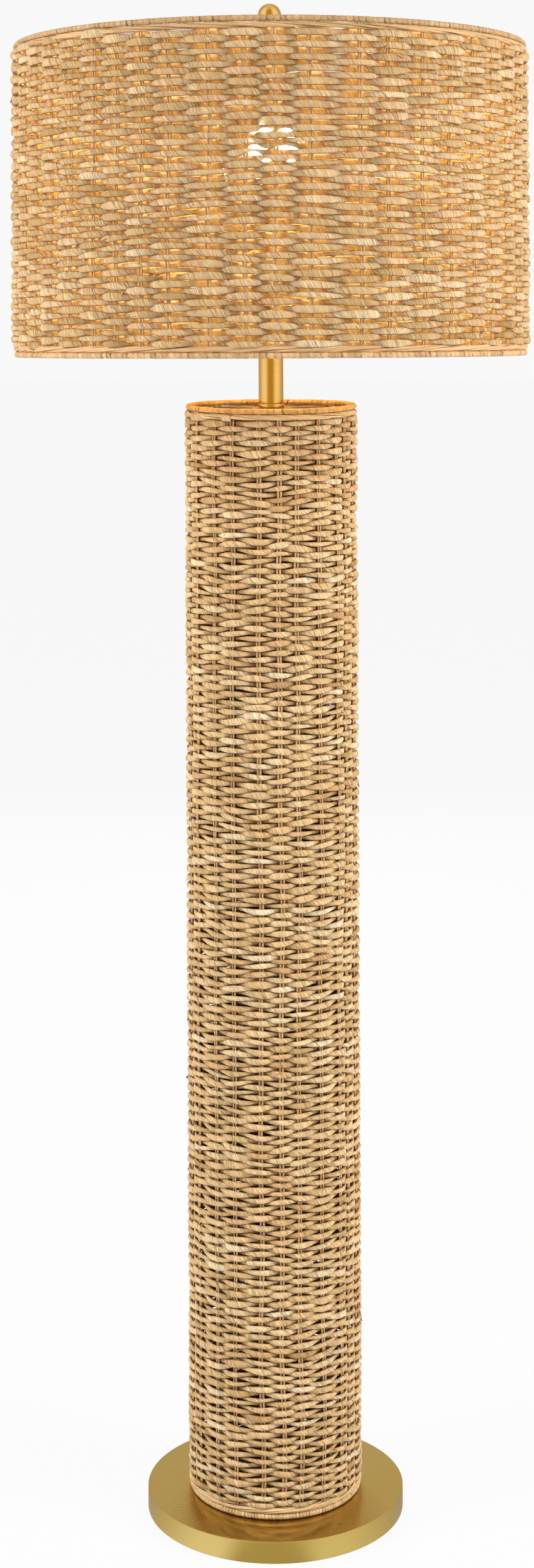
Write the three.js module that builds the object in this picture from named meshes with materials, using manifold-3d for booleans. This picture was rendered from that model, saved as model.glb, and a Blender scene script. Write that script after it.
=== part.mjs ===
// A floor lamp: a brass-finished disc base, a tall woven column, a short brass pole and a woven
// drum shade that hangs on a harp over the bulb. Millimetres, +Z up. The origin is on the floor,
// on the lamp's axis, and the front is towards -Y.

import * as THREE from "three";
import { mergeVertices } from "three/addons/utils/BufferGeometryUtils.js";
import Module from "manifold-3d";

const wasm = await Module();
wasm.setup();

// Fits between pieces
const SEAT_GAP = 0.3; // between two pieces that touch
const RUNNING_GAP = 0.3; // around a piece that turns, slides or threads in another
const CUT_OVERRUN = 2; // how far a cutting shape runs past what it cuts
const WELD_DISTANCE = 0.001; // vertices nearer than this are one vertex

// How many flats go round each kind of turned piece
const SHADE_FLATS = 64;
const COLUMN_FLATS = 40;
const BASE_FLATS = 48;
const PART_FLATS = 20;
const HOOP_FLATS = 6;
const WIRE_FLATS = 8;
const NUT_FLATS = 6;

// Base: a pressed cover over a cast weight, on a felt pad
const BASE_DIAMETER = 260;
const BASE_HEIGHT = 22.2;
const COVER_WALL = 1.2;
const COVER_BEVEL = 0.8;
const COVER_LIFT = 1; // the skirt's lower edge above the floor
const FELT_THICKNESS = 1.5;
const FELT_MARGIN = 1.2; // from the felt's edge to the inside of the skirt

// Cord outlet at the back of the base
const CORD_HOLE_DIAMETER = 9;
const CORD_HOLE_HEIGHT = 7.5; // centre above the floor
const CORD_CHANNEL_MARGIN = 0.8; // channel in the weight, wider than the hole on each side
const BUSHING_BORE = 6;
const BUSHING_FLANGE_DIAMETER = 12;
const BUSHING_FLANGE_THICKNESS = 1.6;
const BUSHING_TAIL = 3; // barrel inside the skirt

// Threaded lamp pipe that holds the whole lamp together, with its nut and washer
const PIPE_DIAMETER = 9.7;
const PIPE_BORE = 6.6;
const PIPE_TAIL = 1; // pipe showing under the locknut
const CORD_ROOM = 6; // under the pipe's end, where the cord turns into it
const PIPE_HEAD = 1.5; // pipe showing inside the socket cap
const NUT_ACROSS_FLATS = 16;
const NUT_HEIGHT = 4.5;
const WASHER_DIAMETER = 28;
const WASHER_THICKNESS = 1.5;
const NUT_RECESS_MARGIN = 4; // around the washer

// Woven walls: a wrapped hoop at each end, a twined band beside it, and the weave between
const RIM_THICKNESS = 6;
const BAND_HEIGHT = 5.5;
const COLUMN_DIAMETER = 178;
const COLUMN_HEIGHT = 1103.5;
const COLUMN_WALL = 9;
const COLUMN_BAND_INSET = 0.5; // band narrower than the weave on each side
const SHADE_DIAMETER = 530;
const SHADE_HEIGHT = 317;
const SHADE_WALL = 13;
const SHADE_BAND_INSET = 2;

// Steel frame inside the column
const ROD_DIAMETER = 5;
const ROD_COUNT = 4;
const CROSSPLATE_THICKNESS = 2.5;
const CROSSPLATE_ARM_WIDTH = 12;
const CROSSPLATE_HUB_DIAMETER = 40;
const TOP_CROSSPLATE_DROP = 5; // its upper face below the column's top

// Pole between the column and the socket
const POLE_DIAMETER = 25.4;
const POLE_WALL = 1.2;
const POLE_LENGTH = 161;
const POLE_RING_DIAMETER = 27;
const POLE_RING_HEIGHT = 4;
const POLE_CAP_THICKNESS = 2;
const SPIGOT_LENGTH = 4; // how far the ring and the cap reach into the pole
const SPIGOT_WALL = 4;

// Harp and the saddle that holds it
const SADDLE_LENGTH = 67.6; // over the ears
const SADDLE_WIDTH = 12;
const SADDLE_THICKNESS = 1.6;
const EAR_HEIGHT = 12;
const EAR_WIDTH = 4.5;
const HARP_HEIGHT = 193.8; // from the saddle's face to the top of the hub
const HARP_WIDTH = 112; // over the wires
const HARP_WIRE_DIAMETER = 3.2;
const HARP_HUB_DIAMETER = 12;
const HARP_HUB_THICKNESS = 4;
const HARP_SHOULDER_HEIGHT_SHARE = 0.5; // of the bowed part, where the wires stand widest
const HARP_CORNER_HEIGHT_SHARE = 0.88; // of the bowed part, where the wires turn inwards
const HARP_CORNER_WIDTH_SHARE = 0.76; // of the half width, at that corner
const HARP_STEPS = 52;
const SLEEVE_LENGTH = 14;
const SLEEVE_WALL = 0.9;
const SLEEVE_LIFT = 12; // how far a sleeve lifts to free the harp

// Swivel stud at the top of the harp
const STUD_THREAD_DIAMETER = 6.2;
const STUD_THREAD_LENGTH = 13;
const STUD_SHANK_DIAMETER = 4;
const STUD_FLANGE_DIAMETER = 11;
const STUD_FLANGE_THICKNESS = 2;
const STUD_HEAD_DIAMETER = 7;
const STUD_HEAD_THICKNESS = 1.5;

// Spider that carries the shade on the stud
const SPIDER_ARM_COUNT = 3;
const SPIDER_ARM_DIAMETER = 3.5;
const SPIDER_WASHER_DIAMETER = 28;
const SPIDER_WASHER_THICKNESS = 1.5;

// Finial: a ball on a short neck
const FINIAL_HEIGHT = 46;
const FINIAL_BALL_DIAMETER = 24;
const FINIAL_BASE_DIAMETER = 14;
const FINIAL_BASE_THICKNESS = 2;
const FINIAL_NECK_DIAMETER = 9;
const FINIAL_FILLET = 1.5;
const FINIAL_BALL_STEPS = 12;

// Bulb
const BULB_DIAMETER = 60;
const BULB_LENGTH = 109;
const BULB_GLASS_WALL = 1;
const BULB_NECK_DIAMETER = 24.4;
const BULB_NECK_SEAT = 5; // how far the glass reaches into its cap
const BULB_SHOULDER_ANGLE = -20; // degrees below the widest circle, where the ball turns into the neck
const BULB_STEPS = 6; // on the ball, and again on the neck
const BULB_CAP_DIAMETER = 26.4;
const BULB_CAP_HEIGHT = 26;
const BULB_CAP_WALL = 0.6;
const BULB_THREAD_TURNS = 4;
const BULB_THREAD_PITCH = 3.6;
const BULB_THREAD_DEPTH = 0.7;
const BULB_TIP_DIAMETER = 9;
const BULB_TIP_HEIGHT = 4;

// Socket, from the inside out: screw shell, insulator, outer shell, cap
const SCREW_SHELL_WALL = 0.7;
const INSULATOR_WALL = 0.7;
const SOCKET_SHELL_WALL = 1;
const SOCKET_CAP_WALL = 0.8;
const SOCKET_CAP_FLOOR = 1.2;
const SOCKET_NECK_DIAMETER = 16;
const SOCKET_NECK_HEIGHT = 3.5;
const SOCKET_CONE_HEIGHT = 6;
const SOCKET_CUP_HEIGHT = 5;
const SOCKET_LIP_HEIGHT = 4; // outer shell above the bulb's cap
const SOCKET_LIP_STEP = 1; // each inner shell ends this far under the one round it
const SWITCH_HOUSING_HEIGHT = 13;
const CONTACT_DIAMETER = 8;
const CONTACT_THICKNESS = 1.4;

// Turn switch on the side of the socket
const SWITCH_SHAFT_DIAMETER = 3;
const SWITCH_SHAFT_DEPTH = 7; // inside the housing
const SWITCH_HOLE_DIAMETER = 4.4;
const SWITCH_HOLE_MARGIN = 1; // from the cap's cup to the hole
const KNOB_DIAMETER = 10;
const KNOB_LENGTH = 10;
const KNOB_BORE_DEPTH = 8;
const KNOB_CLEARANCE = 1.6; // from the socket's cap to the knob
const KNOB_EDGE = 1;

// Finishes
const finish = (color, roughness, metalness) =>
  new THREE.MeshStandardMaterial({ color, roughness, metalness });
const brushedBrass = finish(0xb8974e, 0.38, 1);
const socketBrass = finish(0xc2a050, 0.3, 1);
const zincSteel = finish(0xa9aaa6, 0.42, 1);
const castIron = finish(0x3b3a38, 0.8, 0.7);
const feltCloth = finish(0x2b2825, 0.95, 0);
const wovenLeaf = finish(0xdebe8c, 0.75, 0);
const wrappedCane = finish(0xd7af7d, 0.6, 0);
const darkPlastic = finish(0x1f1c1a, 0.5, 0);
const fibrePaper = finish(0xa98d62, 0.9, 0);
const frostedGlass = finish(0xfff3dc, 0.35, 0);
const capMetal = finish(0xc9c6bd, 0.35, 1);

// A closed three.js geometry as a manifold-3d solid
function toSolid(geometry) {
  const bare = geometry.index ? geometry.toNonIndexed() : geometry.clone();
  bare.deleteAttribute("normal");
  bare.deleteAttribute("uv");
  const merged = mergeVertices(bare, WELD_DISTANCE);
  const triVerts = new Uint32Array(merged.index.array);
  const vertProperties = merged.attributes.position.array;
  return new wasm.Manifold(new wasm.Mesh({ numProp: 3, vertProperties, triVerts }));
}

// A manifold-3d solid as a three.js geometry
function toGeometry(made) {
  const { vertProperties, triVerts } = made.getMesh();
  return new THREE.BufferGeometry()
    .setAttribute("position", new THREE.BufferAttribute(vertProperties, 3))
    .setIndex(new THREE.BufferAttribute(triVerts, 1));
}

function cut(body, ...tools) {
  return toGeometry(tools.reduce((left, tool) => left.subtract(toSolid(tool)), toSolid(body)));
}

function joined(...pieces) {
  return toGeometry(pieces.map(toSolid).reduce((all, next) => all.add(next)));
}

// A body turned about Z from [radius, height] points. A profile that stays off the axis is
// closed here, and the points are put in the order that makes the faces point out.
function turned(points, flats) {
  const outline = points.map(([radius, height]) => new THREE.Vector2(radius, height));
  if (points[0][0] > 0) outline.push(outline[0].clone());
  if (THREE.ShapeUtils.area(outline) < 0) outline.reverse();
  return new THREE.LatheGeometry(outline, flats).rotateX(Math.PI / 2);
}

// A ring of rectangular section between two radii and two heights
function ring(innerRadius, outerRadius, bottom, top, flats) {
  return turned(
    [
      [innerRadius, bottom],
      [outerRadius, bottom],
      [outerRadius, top],
      [innerRadius, top],
    ],
    flats,
  );
}

// A woven tube's hoop has a round section, drawn as a polygon with flats above and below, whose
// corners stand this far from its centre
const hoopReach = RIM_THICKNESS / 2 / Math.cos(Math.PI / HOOP_FLATS);

function hoop(centreRadius, flats) {
  const points = [];
  for (let side = 0; side < HOOP_FLATS; side++) {
    const angle = Math.PI / 2 + ((side + 0.5) * 2 * Math.PI) / HOOP_FLATS;
    points.push([centreRadius + hoopReach * Math.cos(angle), hoopReach * Math.sin(angle)]);
  }
  return turned(points, flats);
}

// An upright round bar with its lower end at height zero
function upright(diameter, length, flats) {
  return new THREE.CylinderGeometry(diameter / 2, diameter / 2, length, flats)
    .rotateX(Math.PI / 2)
    .translate(0, 0, length / 2);
}

// A round bar along +Y from one place to another
function alongY(diameter, from, to, flats) {
  return upright(diameter, to - from, flats)
    .rotateX(-Math.PI / 2)
    .translate(0, from, 0);
}

function place(parent, name, geometry, material, height = 0) {
  const mesh = new THREE.Mesh(geometry, material);
  mesh.name = name;
  mesh.position.z = height;
  parent.add(mesh);
  return mesh;
}

function assembly(parent, height) {
  const group = new THREE.Group();
  group.position.z = height;
  parent.add(group);
  return group;
}

const pipeHoleRadius = PIPE_DIAMETER / 2 + SEAT_GAP;

// Heights of the base's pieces
const coverRadius = BASE_DIAMETER / 2;
const skirtInnerRadius = coverRadius - COVER_WALL;
const weightBottom = FELT_THICKNESS + SEAT_GAP;
const weightTop = BASE_HEIGHT - COVER_WALL - SEAT_GAP;
const pipeBottom = weightBottom + CORD_ROOM;
const nutBottom = pipeBottom + PIPE_TAIL;
const washerBottom = nutBottom + NUT_HEIGHT + SEAT_GAP;
const recessCeiling = washerBottom + WASHER_THICKNESS + SEAT_GAP;

function baseCover() {
  const shell = turned(
    [
      [pipeHoleRadius, BASE_HEIGHT],
      [coverRadius - COVER_BEVEL, BASE_HEIGHT],
      [coverRadius, BASE_HEIGHT - COVER_BEVEL],
      [coverRadius, COVER_LIFT],
      [skirtInnerRadius, COVER_LIFT],
      [skirtInnerRadius, BASE_HEIGHT - COVER_WALL],
      [pipeHoleRadius, BASE_HEIGHT - COVER_WALL],
    ],
    BASE_FLATS,
  );
  const outlet = alongY(
    CORD_HOLE_DIAMETER,
    skirtInnerRadius - CUT_OVERRUN,
    coverRadius + CUT_OVERRUN,
    PART_FLATS,
  ).translate(0, 0, CORD_HOLE_HEIGHT);
  return cut(shell, outlet);
}

function baseWeight() {
  const disc = ring(
    pipeHoleRadius,
    skirtInnerRadius - SEAT_GAP,
    weightBottom,
    weightTop,
    BASE_FLATS,
  );
  const recess = upright(
    WASHER_DIAMETER + 2 * NUT_RECESS_MARGIN,
    recessCeiling - weightBottom + CUT_OVERRUN,
    PART_FLATS,
  ).translate(0, 0, weightBottom - CUT_OVERRUN);
  const channelTop = CORD_HOLE_HEIGHT + CORD_HOLE_DIAMETER / 2 + CORD_CHANNEL_MARGIN;
  const channelBottom = weightBottom - CUT_OVERRUN;
  const channelHeight = channelTop - channelBottom;
  const channelLength = coverRadius;
  const channel = new THREE.BoxGeometry(
    CORD_HOLE_DIAMETER + 2 * CORD_CHANNEL_MARGIN,
    channelLength,
    channelHeight,
  ).translate(0, channelLength / 2, channelBottom + channelHeight / 2);
  return cut(disc, recess, channel);
}

function cordBushing() {
  const barrelRadius = CORD_HOLE_DIAMETER / 2 - SEAT_GAP;
  const flangeStart = coverRadius + SEAT_GAP;
  const flangeEnd = flangeStart + BUSHING_FLANGE_THICKNESS;
  const barrelStart = skirtInnerRadius - BUSHING_TAIL;
  return turned(
    [
      [BUSHING_BORE / 2, barrelStart],
      [barrelRadius, barrelStart],
      [barrelRadius, flangeStart],
      [BUSHING_FLANGE_DIAMETER / 2, flangeStart],
      [BUSHING_FLANGE_DIAMETER / 2, flangeEnd],
      [BUSHING_BORE / 2, flangeEnd],
    ],
    PART_FLATS,
  ).rotateX(-Math.PI / 2);
}

function buildBase(lamp) {
  const base = assembly(lamp, 0);
  const feltDiameter = 2 * (skirtInnerRadius - FELT_MARGIN);
  place(base, "base_felt_pad", upright(feltDiameter, FELT_THICKNESS, BASE_FLATS), feltCloth);
  place(base, "base_weight", baseWeight(), castIron);
  place(base, "base_cover", baseCover(), brushedBrass);
  place(base, "cord_bushing", cordBushing(), darkPlastic, CORD_HOLE_HEIGHT);
  const washer = ring(pipeHoleRadius, WASHER_DIAMETER / 2, 0, WASHER_THICKNESS, PART_FLATS);
  place(base, "pipe_washer", washer, zincSteel, washerBottom);
  const nutCorners = NUT_ACROSS_FLATS / Math.cos(Math.PI / NUT_FLATS);
  const nutBore = upright(2 * pipeHoleRadius, NUT_HEIGHT + 2 * CUT_OVERRUN, PART_FLATS);
  const nut = cut(
    upright(nutCorners, NUT_HEIGHT, NUT_FLATS),
    nutBore.translate(0, 0, -CUT_OVERRUN),
  );
  place(base, "pipe_locknut", nut, zincSteel, nutBottom);
}

// A woven tube: its hoops, bands and weave, one on the other, from height zero
function buildWovenTube(parent, name, { diameter, height, wall, bandInset, flats }) {
  const outerRadius = diameter / 2;
  const stakeRadius = outerRadius - wall / 2;
  const rim = () => hoop(stakeRadius, flats);
  const band = () =>
    ring(outerRadius - wall + bandInset, outerRadius - bandInset, 0, BAND_HEIGHT, flats);
  const bandBottom = RIM_THICKNESS + SEAT_GAP;
  const weaveBottom = bandBottom + BAND_HEIGHT + SEAT_GAP;
  const weaveHeight = height - 2 * weaveBottom;
  const weave = ring(outerRadius - wall, outerRadius, 0, weaveHeight, flats);
  place(parent, name + "_bottom_rim", rim(), wrappedCane, RIM_THICKNESS / 2);
  place(parent, name + "_bottom_band", band(), wrappedCane, bandBottom);
  place(parent, name + "_weave", weave, wovenLeaf, weaveBottom);
  place(parent, name + "_top_band", band(), wrappedCane, height - bandBottom - BAND_HEIGHT);
  place(parent, name + "_top_rim", rim(), wrappedCane, height - RIM_THICKNESS / 2);
}

const columnBottom = BASE_HEIGHT + SEAT_GAP;
const columnTop = columnBottom + COLUMN_HEIGHT;
const columnInnerRadius = COLUMN_DIAMETER / 2 - COLUMN_WALL;
const topCrossplateTop = columnTop - TOP_CROSSPLATE_DROP;

// A flat steel cross with a round hub, whose arms carry the rods and reach the woven wall
function crossplate() {
  const reach = columnInnerRadius - SEAT_GAP;
  const armHalf = Math.sqrt(reach ** 2 - (CROSSPLATE_ARM_WIDTH / 2) ** 2);
  const bars = [];
  for (let bar = 0; bar < ROD_COUNT / 2; bar++) {
    bars.push(
      new THREE.BoxGeometry(2 * armHalf, CROSSPLATE_ARM_WIDTH, CROSSPLATE_THICKNESS)
        .translate(0, 0, CROSSPLATE_THICKNESS / 2)
        .rotateZ(((bar + 0.5) * 2 * Math.PI) / ROD_COUNT),
    );
  }
  const hub = upright(CROSSPLATE_HUB_DIAMETER, CROSSPLATE_THICKNESS, PART_FLATS);
  const hole = upright(
    2 * pipeHoleRadius,
    CROSSPLATE_THICKNESS + 2 * CUT_OVERRUN,
    PART_FLATS,
  ).translate(0, 0, -CUT_OVERRUN);
  return cut(joined(hub, ...bars), hole);
}

function buildColumn(lamp) {
  const column = assembly(lamp, columnBottom);
  buildWovenTube(column, "column", {
    diameter: COLUMN_DIAMETER,
    height: COLUMN_HEIGHT,
    wall: COLUMN_WALL,
    bandInset: COLUMN_BAND_INSET,
    flats: COLUMN_FLATS,
  });
  const topCrossplateBottom = COLUMN_HEIGHT - TOP_CROSSPLATE_DROP - CROSSPLATE_THICKNESS;
  place(column, "column_bottom_crossplate", crossplate(), zincSteel);
  place(column, "column_top_crossplate", crossplate(), zincSteel, topCrossplateBottom);
  const rodBottom = CROSSPLATE_THICKNESS + SEAT_GAP;
  const rodLength = topCrossplateBottom - SEAT_GAP - rodBottom;
  const rodCircle = columnInnerRadius - SEAT_GAP - ROD_DIAMETER / 2;
  for (let rod = 0; rod < ROD_COUNT; rod++) {
    const angle = ((rod + 0.5) * 2 * Math.PI) / ROD_COUNT;
    const bar = upright(ROD_DIAMETER, rodLength, WIRE_FLATS);
    const mesh = place(column, "column_frame_rod_" + (rod + 1), bar, zincSteel, rodBottom);
    mesh.position.x = rodCircle * Math.cos(angle);
    mesh.position.y = rodCircle * Math.sin(angle);
  }
}

// Heights from the pole up
const poleRingBottom = topCrossplateTop + SEAT_GAP;
const poleBottom = poleRingBottom + POLE_RING_HEIGHT + SEAT_GAP;
const poleTop = poleBottom + POLE_LENGTH;
const saddleBottom = poleTop + SEAT_GAP + POLE_CAP_THICKNESS + SEAT_GAP;
const saddleTop = saddleBottom + SADDLE_THICKNESS;
const socketBottom = saddleTop + SEAT_GAP;
const poleBoreRadius = POLE_DIAMETER / 2 - POLE_WALL;

// The flange of a piece that closes the pole's end, with its spigot above it
function poleEnd(flangeDiameter, flangeThickness) {
  const spigotRadius = poleBoreRadius - SEAT_GAP;
  return turned(
    [
      [pipeHoleRadius, 0],
      [flangeDiameter / 2, 0],
      [flangeDiameter / 2, flangeThickness],
      [spigotRadius, flangeThickness],
      [spigotRadius, flangeThickness + SPIGOT_LENGTH],
      [spigotRadius - SPIGOT_WALL, flangeThickness + SPIGOT_LENGTH],
      [spigotRadius - SPIGOT_WALL, flangeThickness],
      [pipeHoleRadius, flangeThickness],
    ],
    PART_FLATS,
  );
}

function buildPole(lamp) {
  const pole = assembly(lamp, poleRingBottom);
  place(pole, "pole_seat_ring", poleEnd(POLE_RING_DIAMETER, POLE_RING_HEIGHT), brushedBrass);
  const tube = ring(poleBoreRadius, POLE_DIAMETER / 2, 0, POLE_LENGTH, PART_FLATS);
  place(pole, "pole_tube", tube, brushedBrass, poleBottom - poleRingBottom);
  const cap = poleEnd(POLE_DIAMETER, POLE_CAP_THICKNESS).rotateX(Math.PI);
  place(pole, "pole_cap", cap, brushedBrass, saddleBottom - SEAT_GAP - poleRingBottom);
}

function buildPipe(lamp) {
  const pipeTop = socketBottom + SOCKET_NECK_HEIGHT + SOCKET_CAP_FLOOR + PIPE_HEAD;
  const pipe = ring(PIPE_BORE / 2, PIPE_DIAMETER / 2, pipeBottom, pipeTop, PART_FLATS);
  place(assembly(lamp, 0), "lamp_pipe", pipe, zincSteel);
}

// Where an ear and the harp's foot stand side by side inside their sleeve
const earOuterFace = SADDLE_LENGTH / 2;
const footCentre = earOuterFace + SEAT_GAP + HARP_WIRE_DIAMETER / 2;
const sleeveSpan = SADDLE_THICKNESS + SEAT_GAP + HARP_WIRE_DIAMETER;
const sleeveCentre = earOuterFace - SADDLE_THICKNESS + sleeveSpan / 2;
const sleeveBoreRadius = Math.hypot(sleeveSpan, EAR_WIDTH) / 2 + RUNNING_GAP;
const harpHubTop = saddleTop + HARP_HEIGHT;

// A flat strip with a hole for the pipe and both ends turned up as ears
function harpSaddle() {
  const strip = new THREE.BoxGeometry(SADDLE_LENGTH, SADDLE_WIDTH, SADDLE_THICKNESS).translate(
    0,
    0,
    SADDLE_THICKNESS / 2,
  );
  const earHeight = SADDLE_THICKNESS + EAR_HEIGHT;
  const ear = new THREE.BoxGeometry(SADDLE_THICKNESS, EAR_WIDTH, earHeight).translate(
    earOuterFace - SADDLE_THICKNESS / 2,
    0,
    earHeight / 2,
  );
  const hole = upright(
    2 * pipeHoleRadius,
    SADDLE_THICKNESS + 2 * CUT_OVERRUN,
    PART_FLATS,
  ).translate(0, 0, -CUT_OVERRUN);
  return cut(joined(strip, ear, ear.clone().rotateZ(Math.PI)), hole);
}

// The harp from height zero at the saddle's face: two straight feet, wires that bow out round
// the bulb and turn in at the top, and a flat hub with the stud's hole
function harp() {
  const footBottom = SEAT_GAP;
  const footTop = SEAT_GAP + SLEEVE_LENGTH + SLEEVE_LIFT + SEAT_GAP;
  const hubMiddle = HARP_HEIGHT - HARP_HUB_THICKNESS / 2;
  const bowHeight = hubMiddle - footTop;
  const widest = (HARP_WIDTH - HARP_WIRE_DIAMETER) / 2;
  const side = [
    [footCentre, footTop],
    [widest, footTop + HARP_SHOULDER_HEIGHT_SHARE * bowHeight],
    [HARP_CORNER_WIDTH_SHARE * widest, footTop + HARP_CORNER_HEIGHT_SHARE * bowHeight],
    [0, hubMiddle],
  ];
  const right = side.map(([x, z]) => new THREE.Vector3(x, 0, z));
  const left = right.slice(0, -1).map((point) => new THREE.Vector3(-point.x, 0, point.z));
  const wire = new THREE.CurvePath();
  const start = new THREE.Vector3(-footCentre, 0, footBottom);
  const end = new THREE.Vector3(footCentre, 0, footBottom);
  wire.add(new THREE.LineCurve3(start, left[0]));
  wire.add(new THREE.CatmullRomCurve3([...left, ...right.reverse()]));
  wire.add(new THREE.LineCurve3(right.at(-1), end));
  const section = new THREE.Shape().absarc(0, 0, HARP_WIRE_DIAMETER / 2, 0, 2 * Math.PI);
  const bow = new THREE.ExtrudeGeometry(section, {
    steps: HARP_STEPS,
    curveSegments: WIRE_FLATS / 2,
    extrudePath: wire,
  });
  const hub = upright(HARP_HUB_DIAMETER, HARP_HUB_THICKNESS, PART_FLATS).translate(
    0,
    0,
    HARP_HEIGHT - HARP_HUB_THICKNESS,
  );
  const hole = upright(
    STUD_SHANK_DIAMETER + 2 * RUNNING_GAP,
    HARP_HUB_THICKNESS + 2 * CUT_OVERRUN,
    PART_FLATS,
  ).translate(0, 0, HARP_HEIGHT - HARP_HUB_THICKNESS - CUT_OVERRUN);
  return cut(joined(bow, hub), hole);
}

function buildHarp(lamp) {
  const carrier = assembly(lamp, saddleBottom);
  place(carrier, "harp_saddle", harpSaddle(), zincSteel);
  place(carrier, "harp", harp(), zincSteel, SADDLE_THICKNESS);
  for (const [name, side] of [
    ["harp_sleeve_left", -1],
    ["harp_sleeve_right", 1],
  ]) {
    const outerRadius = sleeveBoreRadius + SLEEVE_WALL;
    const sleeve = ring(sleeveBoreRadius, outerRadius, 0, SLEEVE_LENGTH, PART_FLATS);
    const mesh = place(carrier, name, sleeve, socketBrass, SADDLE_THICKNESS + SEAT_GAP);
    mesh.position.x = side * sleeveCentre;
  }
}

// Radii of the socket's shells, each a seat gap outside the last
const bulbCapRadius = BULB_CAP_DIAMETER / 2;
const screwShellInner = bulbCapRadius + RUNNING_GAP;
const screwShellOuter = screwShellInner + SCREW_SHELL_WALL;
const insulatorInner = screwShellOuter + SEAT_GAP;
const insulatorOuter = insulatorInner + INSULATOR_WALL;
const socketShellInner = insulatorOuter + SEAT_GAP;
const socketShellOuter = socketShellInner + SOCKET_SHELL_WALL;
const socketCupInner = socketShellOuter + SEAT_GAP;
const socketCupOuter = socketCupInner + SOCKET_CAP_WALL;

// Heights in the socket, from its own lower end
const neckTop = SOCKET_NECK_HEIGHT;
const coneTop = neckTop + SOCKET_CONE_HEIGHT;
const cupTop = coneTop + SOCKET_CUP_HEIGHT;
const housingBottom = coneTop + SEAT_GAP;
const housingTop = housingBottom + SWITCH_HOUSING_HEIGHT;
const contactTop = housingTop + SEAT_GAP + CONTACT_THICKNESS;
const bulbSeat = contactTop + SEAT_GAP;
const socketShellTop = bulbSeat + BULB_CAP_HEIGHT + SOCKET_LIP_HEIGHT;
const insulatorTop = socketShellTop - SOCKET_LIP_STEP;
const screwShellTop = insulatorTop - SOCKET_LIP_STEP;
const shaftHeight = cupTop + SWITCH_HOLE_MARGIN + SWITCH_HOLE_DIAMETER / 2;
const shaftInnerEnd = screwShellOuter - SWITCH_SHAFT_DEPTH;

function socketCap() {
  const neckRadius = SOCKET_NECK_DIAMETER / 2;
  return turned(
    [
      [pipeHoleRadius, 0],
      [neckRadius, 0],
      [neckRadius, neckTop],
      [socketCupOuter, coneTop],
      [socketCupOuter, cupTop],
      [socketCupInner, cupTop],
      [socketCupInner, coneTop],
      [neckRadius, neckTop + SOCKET_CAP_FLOOR],
      [pipeHoleRadius, neckTop + SOCKET_CAP_FLOOR],
    ],
    PART_FLATS,
  );
}

// A shell of the socket with the hole that the switch's shaft passes through
function socketSleeve(inner, outer, bottom, top) {
  const hole = alongY(
    SWITCH_HOLE_DIAMETER,
    -outer - CUT_OVERRUN,
    -inner + CUT_OVERRUN,
    PART_FLATS,
  );
  return cut(ring(inner, outer, bottom, top, PART_FLATS), hole.translate(0, 0, shaftHeight));
}

function switchHousing() {
  const block = upright(2 * screwShellOuter, SWITCH_HOUSING_HEIGHT, PART_FLATS).translate(
    0,
    0,
    housingBottom,
  );
  const bore = alongY(
    SWITCH_SHAFT_DIAMETER + 2 * RUNNING_GAP,
    -screwShellOuter - CUT_OVERRUN,
    -shaftInnerEnd + SEAT_GAP,
    PART_FLATS,
  );
  return cut(block, bore.translate(0, 0, shaftHeight));
}

function buildSocket(lamp) {
  const socket = assembly(lamp, socketBottom);
  const shell = socketSleeve(socketShellInner, socketShellOuter, housingBottom, socketShellTop);
  const liner = socketSleeve(insulatorInner, insulatorOuter, housingBottom, insulatorTop);
  const screwShellBottom = housingTop + SEAT_GAP;
  const threaded = ring(
    screwShellInner,
    screwShellOuter,
    screwShellBottom,
    screwShellTop,
    PART_FLATS,
  );
  place(socket, "socket_cap", socketCap(), socketBrass);
  place(socket, "socket_shell", shell, socketBrass);
  place(socket, "socket_insulator", liner, fibrePaper);
  place(socket, "switch_housing", switchHousing(), darkPlastic);
  place(socket, "socket_screw_shell", threaded, socketBrass);
  const contact = upright(CONTACT_DIAMETER, CONTACT_THICKNESS, PART_FLATS);
  place(socket, "centre_contact", contact, socketBrass, housingTop + SEAT_GAP);
}

// The knob's profile runs along its own shaft, from the open end of its bore outwards
function switchKnob() {
  const boreRadius = SWITCH_SHAFT_DIAMETER / 2 + SEAT_GAP;
  const radius = KNOB_DIAMETER / 2;
  return turned(
    [
      [0, KNOB_BORE_DEPTH],
      [boreRadius, KNOB_BORE_DEPTH],
      [boreRadius, 0],
      [radius - KNOB_EDGE, 0],
      [radius, KNOB_EDGE],
      [radius, KNOB_LENGTH - KNOB_EDGE],
      [radius - KNOB_EDGE, KNOB_LENGTH],
      [0, KNOB_LENGTH],
    ],
    PART_FLATS,
  ).rotateX(Math.PI / 2);
}

function buildSwitch(lamp) {
  const turnSwitch = assembly(lamp, socketBottom + shaftHeight);
  const knobStart = socketCupOuter + KNOB_CLEARANCE;
  const shaftEnd = knobStart + KNOB_BORE_DEPTH - SEAT_GAP;
  const shaft = alongY(SWITCH_SHAFT_DIAMETER, -shaftEnd, -shaftInnerEnd, PART_FLATS);
  place(turnSwitch, "switch_shaft", shaft, zincSteel);
  const knob = place(turnSwitch, "switch_knob", switchKnob(), darkPlastic);
  knob.position.y = -knobStart;
}

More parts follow.
